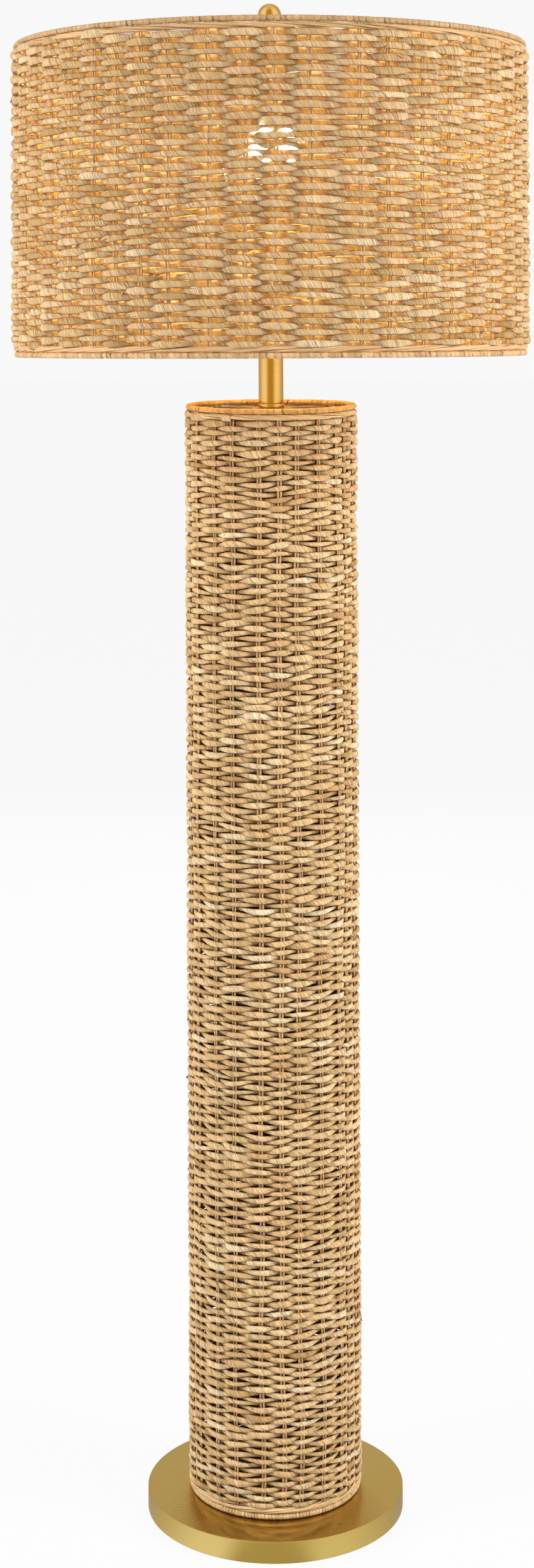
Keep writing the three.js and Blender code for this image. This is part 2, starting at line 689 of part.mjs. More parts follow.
// The bulb's outline from the crown down to the neck's end, drawn inwards by an offset:
// an arc round the ball, then a smooth taper to the neck
function bulbOutline(inwards) {
  const ballRadius = BULB_DIAMETER / 2;
  const ballCentre = BULB_LENGTH - ballRadius;
  const neckRadius = BULB_NECK_DIAMETER / 2;
  const neckHeight = BULB_CAP_HEIGHT;
  const quarter = Math.PI / 2;
  const shoulder = THREE.MathUtils.degToRad(BULB_SHOULDER_ANGLE);
  const points = [];
  for (let step = 0; step <= BULB_STEPS; step++) {
    const angle = quarter + ((shoulder - quarter) * step) / BULB_STEPS;
    const radius = step === 0 ? 0 : (ballRadius - inwards) * Math.cos(angle);
    points.push([radius, ballCentre + (ballRadius - inwards) * Math.sin(angle)]);
  }
  const shoulderRadius = ballRadius * Math.cos(shoulder);
  const shoulderHeight = ballCentre + ballRadius * Math.sin(shoulder);
  for (let step = 1; step <= BULB_STEPS; step++) {
    const share = step / BULB_STEPS;
    const eased = THREE.MathUtils.smoothstep(share, 0, 1);
    points.push([
      THREE.MathUtils.lerp(shoulderRadius, neckRadius, eased) - inwards,
      THREE.MathUtils.lerp(shoulderHeight, neckHeight, share),
    ]);
  }
  points.push([neckRadius - inwards, neckHeight - BULB_NECK_SEAT]);
  return points;
}

function bulbGlass() {
  const outline = [...bulbOutline(0), ...bulbOutline(BULB_GLASS_WALL).reverse()];
  return turned(outline, PART_FLATS);
}

// The bulb's screw cap: a cup with a contact tip below, a tapered shoulder and rolled threads
function bulbCap() {
  const innerRadius = BULB_NECK_DIAMETER / 2 + SEAT_GAP;
  const threadTop = BULB_TIP_HEIGHT + BULB_THREAD_TURNS * BULB_THREAD_PITCH;
  const rootRadius = bulbCapRadius - BULB_THREAD_DEPTH;
  const points = [
    [0, 0],
    [BULB_TIP_DIAMETER / 2, 0],
    [rootRadius, BULB_TIP_HEIGHT],
  ];
  for (let turn = 0; turn < BULB_THREAD_TURNS; turn++) {
    const crest = BULB_TIP_HEIGHT + (turn + 0.5) * BULB_THREAD_PITCH;
    points.push([bulbCapRadius, crest]);
    points.push([rootRadius, crest + BULB_THREAD_PITCH / 2]);
  }
  points.push([bulbCapRadius, threadTop + BULB_THREAD_PITCH / 2]);
  points.push([bulbCapRadius, BULB_CAP_HEIGHT]);
  points.push([innerRadius, BULB_CAP_HEIGHT]);
  points.push([innerRadius, BULB_CAP_HEIGHT - BULB_NECK_SEAT - SEAT_GAP]);
  points.push([rootRadius - BULB_CAP_WALL, BULB_CAP_HEIGHT - BULB_NECK_SEAT - SEAT_GAP]);
  points.push([rootRadius - BULB_CAP_WALL, BULB_TIP_HEIGHT + BULB_CAP_WALL]);
  points.push([0, BULB_TIP_HEIGHT]);
  return turned(points, PART_FLATS);
}

function buildBulb(lamp) {
  const bulb = assembly(lamp, socketBottom + bulbSeat);
  place(bulb, "bulb_cap", bulbCap(), capMetal);
  place(bulb, "bulb_glass", bulbGlass(), frostedGlass);
}

// Heights at the top of the harp
const studFlangeTop = harpHubTop + SEAT_GAP + STUD_FLANGE_THICKNESS;
const spiderBottom = studFlangeTop + SEAT_GAP;
const spiderMiddle = spiderBottom + SPIDER_WASHER_THICKNESS / 2;
const finialBottom = spiderBottom + SPIDER_WASHER_THICKNESS + SEAT_GAP;

// The stud's head hangs under the harp's hub, its shank turns in the hub and its flange and
// thread stand above it
function harpStud() {
  const headRadius = STUD_HEAD_DIAMETER / 2;
  const shankRadius = STUD_SHANK_DIAMETER / 2;
  const hubBottom = -HARP_HUB_THICKNESS;
  const headTop = hubBottom - SEAT_GAP;
  const flangeTop = SEAT_GAP + STUD_FLANGE_THICKNESS;
  return turned(
    [
      [0, headTop - STUD_HEAD_THICKNESS],
      [headRadius, headTop - STUD_HEAD_THICKNESS],
      [headRadius, headTop],
      [shankRadius, headTop],
      [shankRadius, SEAT_GAP],
      [STUD_FLANGE_DIAMETER / 2, SEAT_GAP],
      [STUD_FLANGE_DIAMETER / 2, flangeTop],
      [STUD_THREAD_DIAMETER / 2, flangeTop],
      [STUD_THREAD_DIAMETER / 2, flangeTop + STUD_THREAD_LENGTH],
      [0, flangeTop + STUD_THREAD_LENGTH],
    ],
    PART_FLATS,
  );
}

// A washer with round arms that reach the shade's top hoop
function shadeSpider() {
  const threadHole = STUD_THREAD_DIAMETER / 2 + SEAT_GAP;
  const hoopInner = (SHADE_DIAMETER - SHADE_WALL) / 2 - hoopReach;
  const armStart = (FINIAL_BASE_DIAMETER + SPIDER_WASHER_DIAMETER) / 4;
  const armEnd = hoopInner - SEAT_GAP;
  const arms = [];
  for (let arm = 0; arm < SPIDER_ARM_COUNT; arm++) {
    const turn = (arm * 2 * Math.PI) / SPIDER_ARM_COUNT;
    arms.push(alongY(SPIDER_ARM_DIAMETER, armStart, armEnd, WIRE_FLATS).rotateZ(turn));
  }
  const washer = ring(
    threadHole,
    SPIDER_WASHER_DIAMETER / 2,
    -SPIDER_WASHER_THICKNESS / 2,
    SPIDER_WASHER_THICKNESS / 2,
    PART_FLATS,
  );
  return joined(washer, ...arms);
}

// A ball on a neck that flares into a base, bored from below for the stud's thread
function finial() {
  const boreRadius = STUD_THREAD_DIAMETER / 2 + RUNNING_GAP;
  const boreTop = STUD_THREAD_LENGTH + SEAT_GAP;
  const ballRadius = FINIAL_BALL_DIAMETER / 2;
  const ballCentre = FINIAL_HEIGHT - ballRadius;
  const neckRadius = FINIAL_NECK_DIAMETER / 2;
  const baseRadius = FINIAL_BASE_DIAMETER / 2;
  const neckAngle = -Math.acos(neckRadius / ballRadius);
  const points = [
    [0, boreTop],
    [boreRadius, boreTop],
    [boreRadius, 0],
    [baseRadius, 0],
    [baseRadius, FINIAL_BASE_THICKNESS],
    [neckRadius, FINIAL_BASE_THICKNESS + FINIAL_FILLET],
  ];
  for (let step = 0; step < FINIAL_BALL_STEPS; step++) {
    const angle = neckAngle + ((Math.PI / 2 - neckAngle) * step) / FINIAL_BALL_STEPS;
    points.push([ballRadius * Math.cos(angle), ballCentre + ballRadius * Math.sin(angle)]);
  }
  points.push([0, FINIAL_HEIGHT]);
  return turned(points, PART_FLATS);
}

function buildShade(lamp) {
  const shadeTop = spiderMiddle + RIM_THICKNESS / 2;
  const shade = assembly(lamp, shadeTop - SHADE_HEIGHT);
  buildWovenTube(shade, "shade", {
    diameter: SHADE_DIAMETER,
    height: SHADE_HEIGHT,
    wall: SHADE_WALL,
    bandInset: SHADE_BAND_INSET,
    flats: SHADE_FLATS,
  });
  place(shade, "shade_spider", shadeSpider(), zincSteel, SHADE_HEIGHT - RIM_THICKNESS / 2);
  const fittings = assembly(lamp, harpHubTop);
  place(fittings, "harp_stud", harpStud(), socketBrass);
  place(fittings, "finial", finial(), brushedBrass, finialBottom - harpHubTop);
}

const lamp = new THREE.Group();
buildBase(lamp);
buildPipe(lamp);
buildColumn(lamp);
buildPole(lamp);
buildHarp(lamp);
buildSocket(lamp);
buildSwitch(lamp);
buildBulb(lamp);
buildShade(lamp);

export default lamp;
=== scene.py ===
"""A rattan floor lamp: a brass base, a tall woven column, a short brass pole and a lit woven drum shade.

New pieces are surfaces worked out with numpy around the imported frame, in metres, +Z up, front towards -Y.
"""

import math

import bmesh
import bpy
import numpy as np
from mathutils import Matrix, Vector


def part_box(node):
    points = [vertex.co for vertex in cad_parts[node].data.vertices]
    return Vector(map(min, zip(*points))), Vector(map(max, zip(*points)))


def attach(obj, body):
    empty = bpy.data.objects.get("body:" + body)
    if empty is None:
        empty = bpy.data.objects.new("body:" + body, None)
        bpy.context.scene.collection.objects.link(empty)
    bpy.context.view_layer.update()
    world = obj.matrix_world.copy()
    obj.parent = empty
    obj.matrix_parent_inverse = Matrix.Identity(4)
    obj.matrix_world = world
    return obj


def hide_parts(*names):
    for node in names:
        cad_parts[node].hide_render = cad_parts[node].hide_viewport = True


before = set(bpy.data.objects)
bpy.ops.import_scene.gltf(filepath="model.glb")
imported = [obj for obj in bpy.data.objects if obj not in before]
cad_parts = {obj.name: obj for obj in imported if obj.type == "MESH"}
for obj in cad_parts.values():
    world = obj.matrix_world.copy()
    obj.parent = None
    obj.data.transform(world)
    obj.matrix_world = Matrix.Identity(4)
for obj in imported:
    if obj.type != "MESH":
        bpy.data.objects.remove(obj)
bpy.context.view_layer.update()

MM = 0.001
TURN = 2 * math.pi

# Camera, from the openness of the base, column and shade ellipses in the photograph
PHOTO_HEIGHT = 2500  # pixels
FOCAL_PIXELS = 3953
HORIZON_PIXEL = 530.4
SENSOR = 36.0
CAMERA_DISTANCE = 2.540
CAMERA_HEIGHT = 1.198
CAMERA_LEFT = 0.0039
CAMERA_ROLL = math.radians(0.235)

# Light and backdrop, where a brightness of 1 is white
BACKDROP = 0.939
FLOOR_GLOW = 0.972
FLOOR_GLOW_SHARE = 0.95  # the rest of the floor is paint, which keeps the shadow
FLOOR_REACH = 60.0  # metres
NEAR_FLOOR = (0.5, 1.5)  # metres over which the near floor's colour turns into the far floor's
WORLD_LOW = 0.05  # even light from the side and below
WORLD_HIGH = 0.16  # and from above
LEFT_WATTS = 150
RIGHT_WATTS = 162
BACK_WATTS = 64
SIDE_TURN = 66  # degrees round from the front
SIDE_CLOTH = (1.6, 2.6)  # metres wide and high
BACK_CLOTH = (2.4, 2.0)
SOFTBOX_DISTANCE = 3.2
SOFTBOX_HEIGHT = 2.1
SOFTBOX_AIM = (0, 0, 0.75)
BULB_WATTS = 8.5
BULB_COLOUR = (1.0, 0.68, 0.14)
BULB_LIGHT_RADIUS = 24 * MM
BULB_GLOW = 9.0
BULB_GLOW_RISE = 45 * MM  # height over which the glass turns from amber to its full warm white

# How the studio looks in polished metal: a dim warm front, a light wall on each side, corners behind the
# walls and a dim back. The ends are degrees round from the front's middle: where the front ends, where the
# walls begin and end, and where the corners and the back stand.
STUDIO_ZONES = {
    "middle": -4,
    "ends": (17, 48, 71, 126, 176),
    "front": (0.53, 0.36, 0.06),
    "walls": ((1.07, 1.04, 1.08), (1.08, 1.03, 1.0)),
    "corners": (0.54, 0.45, 0.38),
    "back": (0.64, 0.57, 0.46),
}
STUDIO_OVERHEAD = (0.78, 0.72, 0.62)

# And how the floor close round the base looks in it
FLOOR_ZONES = {
    "middle": -3,
    "ends": (14, 24, 38, 64, 88),
    "front": (0.53, 0.47, 0.29),
    "walls": ((1.02, 1.03, 1.1), (0.88, 0.87, 0.8)),
    "corners": (0.70, 0.64, 0.52),
    "back": (0.49, 0.46, 0.56),
}

# Column weave
COLUMN_STAKE_RADIUS = 84.5 * MM
COLUMN_FRONT_STAKES = (-62.6, -42.6, -27.6, -8.7, 5.2, 17.4, 34.1, 51.3, 61.3)  # degrees, front is 0
COLUMN_BACK_STAKES = 14
COLUMN_STAKE_DRIFT = math.radians(0.8)  # as they rise
COLUMN_SEEDS = (11, 21, 31)  # of the stakes, the strand and the trims
COLUMN_ROWS = 232
COLUMN_PITCH_SPREAD = 0.0655  # rows are lower at the bottom by this share, higher at the top
COLUMN_SWAY = 2.7 * MM  # strand's middle in front of or behind the stakes
COLUMN_STRAND_THICKNESS = 4.0 * MM
COLUMN_TOP_LEAN = 0.021  # the woven top leans forward by this slope
COLUMN_FRONT_SAG = 0.018  # and its front half alone by this slope besides
COLUMN_LEAN_START = 0.98  # height at which the lean begins, in metres
COLUMN_TOP_WRAP = 7.2 * MM
COLUMN_BOTTOM_WRAP = 3.4 * MM

# Shade weave
SHADE_STAKE_RADIUS = 258.5 * MM
SHADE_FRONT_STAKES = (-40.2, -34.0, -27.8, -21.6, -12.8, -5.2, 1.0, 8.2, 18.9, 25.2, 33.7)
SHADE_BACK_STAKES = 38
SHADE_STAKE_DRIFT = math.radians(0.3)
SHADE_SEEDS = (12, 22, 32)
SHADE_ROWS = 54
SHADE_SWAY = 4.1 * MM
SHADE_STRAND_THICKNESS = 4.2 * MM
SHADE_WRAP = 6.2 * MM
MIXED_TURNS = (0.10, 1.0)  # tones of a hoop's turns, dark 0 to light 1
# Darker tones for the shade's top hoop, painted shade on a hoop lit only from behind
TOP_HOOP_PAINTED_SHADE_TURNS = (0.0, 0.40)

# Openings in the shade through which the bulb shows: degrees, height, half width and half height in mm
SHADE_OPENINGS = (
    (-0.8, 1384.6, 4.8, 1.7),
    (3.1, 1384.3, 6.0, 1.7),
    (-3.3, 1369.2, 5.2, 1.6),
    (-3.5, 1363.0, 4.8, 1.3),
    (-0.9, 1356.4, 3.8, 1.2),
    (3.0, 1368.2, 8.8, 1.3),
    (-1.7, 1391.0, 1.0, 0.7),
    (-3.7, 1381.6, 1.5, 0.9),
    (-4.2, 1375.4, 1.2, 0.7),
    (3.8, 1356.0, 1.0, 0.7),
    (4.7, 1356.2, 1.0, 0.7),
    (6.4, 1372.8, 2.8, 0.5),
)
LEAST_STRAND_HEIGHT = 1.3 * MM  # what an opening leaves of the strands above and below it
# Painted glow round the openings in the shade, for the bulb's light that washes out their edges
SPILL_REACH = 0.75  # millimetres over which the bulb's light washes out an opening's edge
FULL_SPILL_HEIGHT = 1.6  # half height in millimetres of an opening that spills in full
SPILL_COLOUR = (1.7, 1.35, 0.90)

# Shape of one strand, shared by both weaves
FLOAT_HEIGHT_SHARE = 1.36  # of the row pitch, at a float's middle
END_HEIGHT_SHARE = 0.44  # of the row pitch, where a float dives behind a stake
COLUMN_INSIDE_SHARE = 0.88  # of the row pitch, behind the stake
SHADE_INSIDE_SHARE = 0.94
CLOSE_INSIDE_SHARE = 1.70  # the weave is closer at the back, and near the shade's top and the bulb
CLOSE_END_SHARE = 0.86
SHADE_CLOSE_FROM = 1.385  # height at which the shade's rows begin to close up, in metres
SHADE_CLOSE_AT = 1.445
BULB_PLACE = (0.8, 1.373)  # degrees and height of the place through which the bulb shows
BULB_SPREAD = (8.5, 0.028)  # and how far the closer weave round it reaches
STRAND_SIDES = 8
STRAND_STEPS = 8  # between two stakes
TWIST_LENGTH = 10.5  # millimetres of strand in which its fibres go once round
ROWS_IN_BAND = 0.2  # how far the first and last rows reach into the bands, in row pitches
UNDER_BAND_RISE = 0.25  # by how much the last row is thicker on top, in row pitches
WALL_SKIN = 0.05 * MM  # the weave stays this far inside the CAD wall
WALL_SWELL = 0.6 * MM  # unevenness of the wall's radius
TALL_SPREAD = 0.12  # how much the floats differ in height
LIFT_SPREAD = 0.09  # and in level, in row pitches
DROP_SPREAD = 0.13  # the same at their ends
PUSH_SPREAD = 0.13  # and in and out, in strand thicknesses
LEAN_SPREAD = 0.20  # where along a float it is fullest, in stakes from its middle
END_DEPTH_SHARE = 0.74  # of the strand's thickness, behind the stakes
WAVE_TURNS = 14  # how fast the rows' waves change with height
BROAD_WAVE = 0.24  # of the row pitch
CLOSE_WAVE = 0.17
WAVE_START = 6  # rows over which the waves begin, from each end
SAG_BLEND = 20 * MM  # the front rim's sag begins softly over this depth

# Loose pieces that leave the floats
SLIVERS = {
    "count": 600, "lengths": (2.5 * MM, 8 * MM), "half_widths": (0.14 * MM, 0.34 * MM),
    "rise": (0.2 * MM, 1.9 * MM), "taper": 0.7, "sides": 3, "steps": 5,
}
CUT_ENDS = {
    "count": 90, "lengths": (4 * MM, 8 * MM), "half_widths": (0.7 * MM, 1.3 * MM),
    "rise": (0.5 * MM, 1.6 * MM), "taper": 0.25, "sides": 7, "steps": 6,
}
LOOSE_PLACE = 0.45  # how far from a float's middle they start, in stakes
LOOSE_OFFSET = 50  # millimetres between their fibre patterns

# Turned pieces
SHARP_ANGLE = 32  # degrees of bend over which an edge stays crisp
COPY_SHARP_ANGLE = 38
MERGE_DISTANCE = 0.002 * MM
LONG_STRAIGHT = 3 * MM  # straights longer than this get a point near each end
EDGE_HOLD = 0.2 * MM  # at this distance from it
PIPE_BORE = 5.15 * MM
PIPE_ROOM = 7.3 * MM  # radius of the room for the pipe's nuts
POLE_SPIGOT = 11.3 * MM
SEAM = 0.3 * MM  # open line between the pole and its rings

# Relief of the surfaces
LEAF_RELIEF = 0.55 * MM
CANE_RELIEF = 0.2 * MM
BRUSH_RELIEF = 0.003 * MM
GRAIN_RELIEF = 0.05 * MM

# Colours laid over the leaf's own tone
REDDISH_LEAF = (0.74, 0.42, 0.24)  # a few floats
OLIVE_LEAF = (0.52, 0.36, 0.14)  # and a few others
LEAF_BLOTCH = (0.58, 0.33, 0.125)
# Painted shade in the leaf's creases
LEAF_CREASE_SHADE = (0.22, 0.105, 0.032)
LEAF_STAIN = (0.24, 0.12, 0.045)
# Painted shade where a float dives behind a stake
LEAF_END_SHADE = (0.23, 0.090, 0.016)  # where a float dives behind a stake
# Painted shade along the strands' upper and lower edges, where two rows meet
LEAF_ROW_EDGE_SHADE = (0.21, 0.085, 0.018)  # the line between two rows
# Painted shade: the leaf's colour is multiplied by this where it lies inside the wall
INSIDE_WALL_PAINTED_SHADE = (0.66, 0.58, 0.48)  # times the leaf's colour inside the wall

# Colours laid over the cane's own tone
# Real stains on the cane, and painted shade in its creases
CANE_STAIN_AND_CREASE_SHADE = (0.30, 0.155, 0.06)
# Dark joints between a hoop's turns, and painted shade where a band's cane passes behind
CANE_SEAM_AND_SHADE = (0.13, 0.06, 0.02)  # between two turns

# Painted glow of leaf and cane for the bulb's light that they let through, the leaf's by how far it lies
# inside the wall, with a painted highlight along its upper side
PAINTED_LEAF_GLOW = ((0.0, (0.03, 0.008, 0.0)), (0.35, (0.20, 0.06, 0.003)), (1.0, (1.0, 0.48, 0.085)))
PAINTED_LEAF_TOP_HIGHLIGHT = (1.60, 1.08, 0.46)
PAINTED_CANE_GLOW = (1.0, 0.46, 0.10)
BLACK = (0.0, 0.0, 0.0)

# Canes
STAKE_CANE_RADIUS = 1.12 * MM
STAKE_CANE_OFFSET = 1.3 * MM
STAKE_STEP = 18 * MM
STAKE_WOBBLE = 0.25 * MM
CANE_SIDES = 6
BAND_CANE_RADIUS = 1.2 * MM
BAND_CANE_SIDES = 8
BAND_CANES = 6
BAND_CANE_OFFSET = 600  # millimetres between their fibre patterns
BAND_STEPS = 30  # in one turn of the twining
BAND_SWAY = 2.5 * MM
BAND_OVERLAP = 0.5 * MM  # how far the canes reach past the band's edges
COLUMN_BAND_TURNS = 4
SHADE_BAND_TURNS = 9
HOOP_STEPS = 6  # in one turn of the flat cane
HOOP_SIDES = 12
HOOP_OFFSET = 31  # millimetres between the turns' fibre patterns


# Directions and columns

def outward(angle):
    """Unit vectors away from the upright axis: (cos a, sin a, 0)."""
    return np.stack([np.cos(angle), np.sin(angle), np.zeros_like(angle)], -1)


def sideways(angle):
    """Unit vectors round the upright axis: (-sin a, cos a, 0)."""
    return np.stack([-np.sin(angle), np.cos(angle), np.zeros_like(angle)], -1)


def upward(angle):
    """Unit vectors along +Z, one for each angle."""
    return np.stack([np.zeros_like(angle), np.zeros_like(angle), np.ones_like(angle)], -1)


def spread_over(shape, *parts):
    """Numbers or arrays spread over one shape, as the columns of one array."""
    return np.stack([np.broadcast_to(part, shape) for part in parts], -1)


# Meshes

def grid_quads(rows, columns, wrap_rows=False, wrap_columns=False):
    """Corner numbers of the quads of a grid of points, numbered row by row."""
    i = np.arange(rows if wrap_rows else rows - 1)
    j = np.arange(columns if wrap_columns else columns - 1)
    i, j = np.meshgrid(i, j, indexing="ij")
    i2 = (i + 1) % rows
    j2 = (j + 1) % columns
    corners = [i * columns + j, i2 * columns + j, i2 * columns + j2, i * columns + j2]
    return np.stack(corners, -1).reshape(-1, 4)


def enclosed_volume(points, face_lists):
    """Six times the volume inside closed faces: the sum of first . (second x third) over their triangles."""
    total = 0.0
    for faces in face_lists:
        first = points[faces[:, 0]]
        for corner in range(1, faces.shape[1] - 1):
            across = np.cross(points[faces[:, corner]], points[faces[:, corner + 1]])
            total += np.einsum("ij,ij->", first, across)
    return total


def piece_from(name, points, face_lists, attributes=None, sharp_angle=None):
    """A mesh object from an array of points and arrays of faces, each with its own corner count.

    The faces are turned outwards, and edges that bend more than sharp_angle degrees stay crisp.
    """
    mesh = bpy.data.meshes.new(name)
    points = np.asarray(points, float).reshape(-1, 3)
    if enclosed_volume(points, face_lists) < 0:
        face_lists = [faces[:, ::-1] for faces in face_lists]
    points = points.astype(np.float32)
    corners = np.concatenate([faces.reshape(-1) for faces in face_lists]).astype(np.int32)
    totals = np.concatenate([np.full(len(faces), faces.shape[1]) for faces in face_lists])
    starts = np.concatenate([[0], np.cumsum(totals)[:-1]])
    mesh.vertices.add(len(points))
    mesh.vertices.foreach_set("co", points.reshape(-1))
    mesh.loops.add(len(corners))
    mesh.loops.foreach_set("vertex_index", corners)
    mesh.polygons.add(len(totals))
    mesh.polygons.foreach_set("loop_start", starts.astype(np.int32))
    mesh.polygons.foreach_set("loop_total", totals.astype(np.int32))
    mesh.polygons.foreach_set("use_smooth", np.ones(len(totals), bool))
    for label, (kind, field, values) in (attributes or {}).items():
        layer = mesh.attributes.new(label, kind, "POINT")
        layer.data.foreach_set(field, np.asarray(values, np.float32).reshape(-1))
    mesh.update(calc_edges=True)
    mesh.validate()
    if sharp_angle is not None:
        mesh.set_sharp_from_angle(angle=math.radians(sharp_angle))
    thing = bpy.data.objects.new(name, mesh)
    bpy.context.scene.collection.objects.link(thing)
    return thing


def strand_attributes(fibre, look):
    """The two attributes that woven pieces carry: fibre (along, round) and look (tone, end, rare, inside)."""
    return {"fibre": ("FLOAT_VECTOR", "vector", fibre), "look": ("FLOAT_COLOR", "color", look)}


def dress(thing, body, material, slot, *nodes):
    """The piece rides on its body, takes its material and stands for its CAD nodes."""
    thing.data.materials.append(material)
    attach(thing, body)
    if nodes:
        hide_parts(*nodes)
    return thing


def held_edges(profile):
    """The profile with a point added close to each end of every long straight, which keeps soft edges
    narrow."""
    step = np.diff(profile, axis=0)
    length = np.hypot(step[:, 0], step[:, 1])
    points = [profile[:1]]
    for number in range(len(step)):
        if length[number] > LONG_STRAIGHT:
            share = EDGE_HOLD / length[number]
            points.append(profile[number] + step[number] * np.array([[share], [1 - share]]))
        points.append(profile[number + 1:number + 2])
    return np.concatenate(points)


def turned(name, profile, steps=96, close=False, centre=(0, 0, 0), along_y=False, flutes=0, flute_depth=0.0,
           brush=None):
    """A profile of (radius, height) carried round an axis: point = (r cos a, r sin a, height), or with the
    height along Y. Flutes pull the widest rings in by flute_depth (1 - cos(flutes a)) / 2."""
    profile = held_edges(np.asarray(profile, float))
    starts_at_pole = profile[0, 0] == 0
    ends_at_pole = profile[-1, 0] == 0
    rings = profile[int(starts_at_pole):len(profile) - int(ends_at_pole)]
    angle = np.arange(steps) * TURN / steps
    wide = rings[:, 0] > 0.9 * profile[:, 0].max()
    flute = 0.5 - 0.5 * np.cos(flutes * angle)
    radius = rings[:, 0][:, None] - flute_depth * wide[:, None] * flute[None, :]
    height = np.broadcast_to(rings[:, 1][:, None], radius.shape)
    points = np.stack([radius * np.cos(angle), radius * np.sin(angle), height], -1).reshape(-1, 3)
    faces = [grid_quads(len(rings), steps, wrap_rows=close, wrap_columns=True)]
    here = np.arange(steps)
    after = (here + 1) % steps
    if starts_at_pole:
        pole_number = np.full(steps, len(points))
        points = np.concatenate([points, [[0, 0, profile[0, 1]]]])
        faces.append(np.stack([pole_number, here, after], -1))
    if ends_at_pole:
        pole_number = np.full(steps, len(points))
        points = np.concatenate([points, [[0, 0, profile[-1, 1]]]])
        last = (len(rings) - 1) * steps
        faces.append(np.stack([pole_number, last + after, last + here], -1))
    if along_y:
        points = points[:, [0, 2, 1]]
    points = points + np.asarray(centre)
    attributes = {"brush": ("FLOAT_VECTOR", "vector", brush(points))} if brush else None
    return piece_from(name, points, faces, attributes, SHARP_ANGLE)


def arc(centre, radius, start, end, steps):
    """Points of a circle's arc in the profile plane, angles in degrees from the outward direction."""
    angle = np.radians(np.linspace(start, end, steps))
    return np.stack([centre[0] + radius * np.cos(angle), centre[1] + radius * np.sin(angle)], -1)


def loops_of(centre, out, up, half_out, half_up, sides, closed):
    """A tube of many sections: point = centre + out * half_out * cos t + up * half_up * sin t."""
    t = np.arange(sides) * TURN / sides
    points = (
        centre[:, None, :]
        + out[:, None, :] * (half_out[:, None] * np.cos(t))[..., None]
        + up[:, None, :] * (half_up[:, None] * np.sin(t))[..., None]
    )
    faces = [grid_quads(len(centre), sides, wrap_rows=closed, wrap_columns=True)]
    if not closed:
        first = np.arange(sides)[None, :]
        last = (len(centre) - 1) * sides + np.arange(sides)[None, ::-1]
        faces.append(np.concatenate([first, last]))
    return points, faces


def waves(rng, count, low, high):
    """A smooth random field over (a, b), about -1 to 1: a sum of sines with random turns and phases, over
    the root of their count."""
    turns = rng.uniform(low, high, (count, 2)) * rng.choice([-1, 1], (count, 2))
    phase = rng.uniform(0, TURN, count)

    def field(a, b):
        total = 0
        for (ka, kb), p in zip(turns, phase):
            total = total + np.sin(np.round(ka) * a + kb * b + p)
        return total / math.sqrt(count)

    return field


def rough_line(rng, count):
    """Random values from -1 to 1 at whole numbers, joined by smooth steps."""
    values = rng.uniform(-1, 1, count + 3)

    def along(x):
        whole = np.clip(np.floor(x).astype(int), 0, count + 1)
        part = np.clip(x - whole, 0, 1)
        part = part * part * (3 - 2 * part)
        return values[whole] * (1 - part) + values[whole + 1] * part

    return along


# Shader helpers

def add_node(tree, kind, **settings):
    """A node with its properties and unlinked inputs set: a key that names a socket sets that socket."""
    node = tree.nodes.new(kind)
    for key, value in settings.items():
        if hasattr(node, key):
            setattr(node, key, value)
        else:
            node.inputs[key.replace("_", " ")].default_value = value
    return node


def maths(tree, operation, first, second=None):
    """One arithmetic step on sockets or plain numbers."""
    node = tree.nodes.new("ShaderNodeMath")
    node.operation = operation
    for socket, value in zip(node.inputs, (first, second)):
        if value is None:
            continue
        if isinstance(value, (int, float)):
            socket.default_value = value
        else:
            tree.links.new(value, socket)
    return node.outputs[0]


def colour_mix(tree, mode, share, first, second):
    """A colour mix of sockets or plain colours."""
    node = tree.nodes.new("ShaderNodeMix")
    node.data_type = "RGBA"
    node.blend_type = mode
    for socket, value in ((node.inputs[0], share), (node.inputs[6], first), (node.inputs[7], second)):
        if hasattr(value, "is_linked"):
            tree.links.new(value, socket)
        elif isinstance(value, (int, float)):
            socket.default_value = value
        else:
            socket.default_value = (*value, 1.0)
    return node.outputs[2]


def ramp(tree, source, stops):
    """A colour ramp of (position, colour) stops."""
    node = tree.nodes.new("ShaderNodeValToRGB")
    elements = node.color_ramp.elements
    while len(elements) < len(stops):
        elements.new(1.0)
    for element, (position, colour) in zip(elements, stops):
        element.position = position
        element.color = (*colour, 1.0)
    tree.links.new(source, node.inputs[0])
    return node.outputs[0]


def spread(tree, source, from_low, from_high, to_low, to_high):
    """A value taken from one range to another, held inside it."""
    node = tree.nodes.new("ShaderNodeMapRange")
    tree.links.new(source, node.inputs[0])
    for socket, value in zip(list(node.inputs)[1:5], (from_low, from_high, to_low, to_high)):
        socket.default_value = value
    return node.outputs[0]


def grain(tree, vector, **settings):
    """A noise texture on a vector."""
    node = add_node(tree, "ShaderNodeTexNoise", **settings)
    tree.links.new(vector, node.inputs["Vector"])
    return node.outputs[0]


def new_group(name, inputs, outputs):
    """An empty shader node group with its sockets: (label, socket kind, default)."""
    tree = bpy.data.node_groups.new(name, "ShaderNodeTree")
    for label, kind, value in inputs:
        socket = tree.interface.new_socket(label, in_out="INPUT", socket_type=kind)
        if value is not None:
            socket.default_value = value
    for label, kind in outputs:
        tree.interface.new_socket(label, in_out="OUTPUT", socket_type=kind)
    return tree, tree.nodes.new("NodeGroupInput"), tree.nodes.new("NodeGroupOutput")


def use_group(tree, group, source=None, **values):
    """A group placed in a material, its first input fed by source."""
    node = tree.nodes.new("ShaderNodeGroup")
    node.node_tree = group
    if source is not None:
        tree.links.new(source, node.inputs[0])
    for key, value in values.items():
        node.inputs[key.replace("_", " ")].default_value = value
    return node


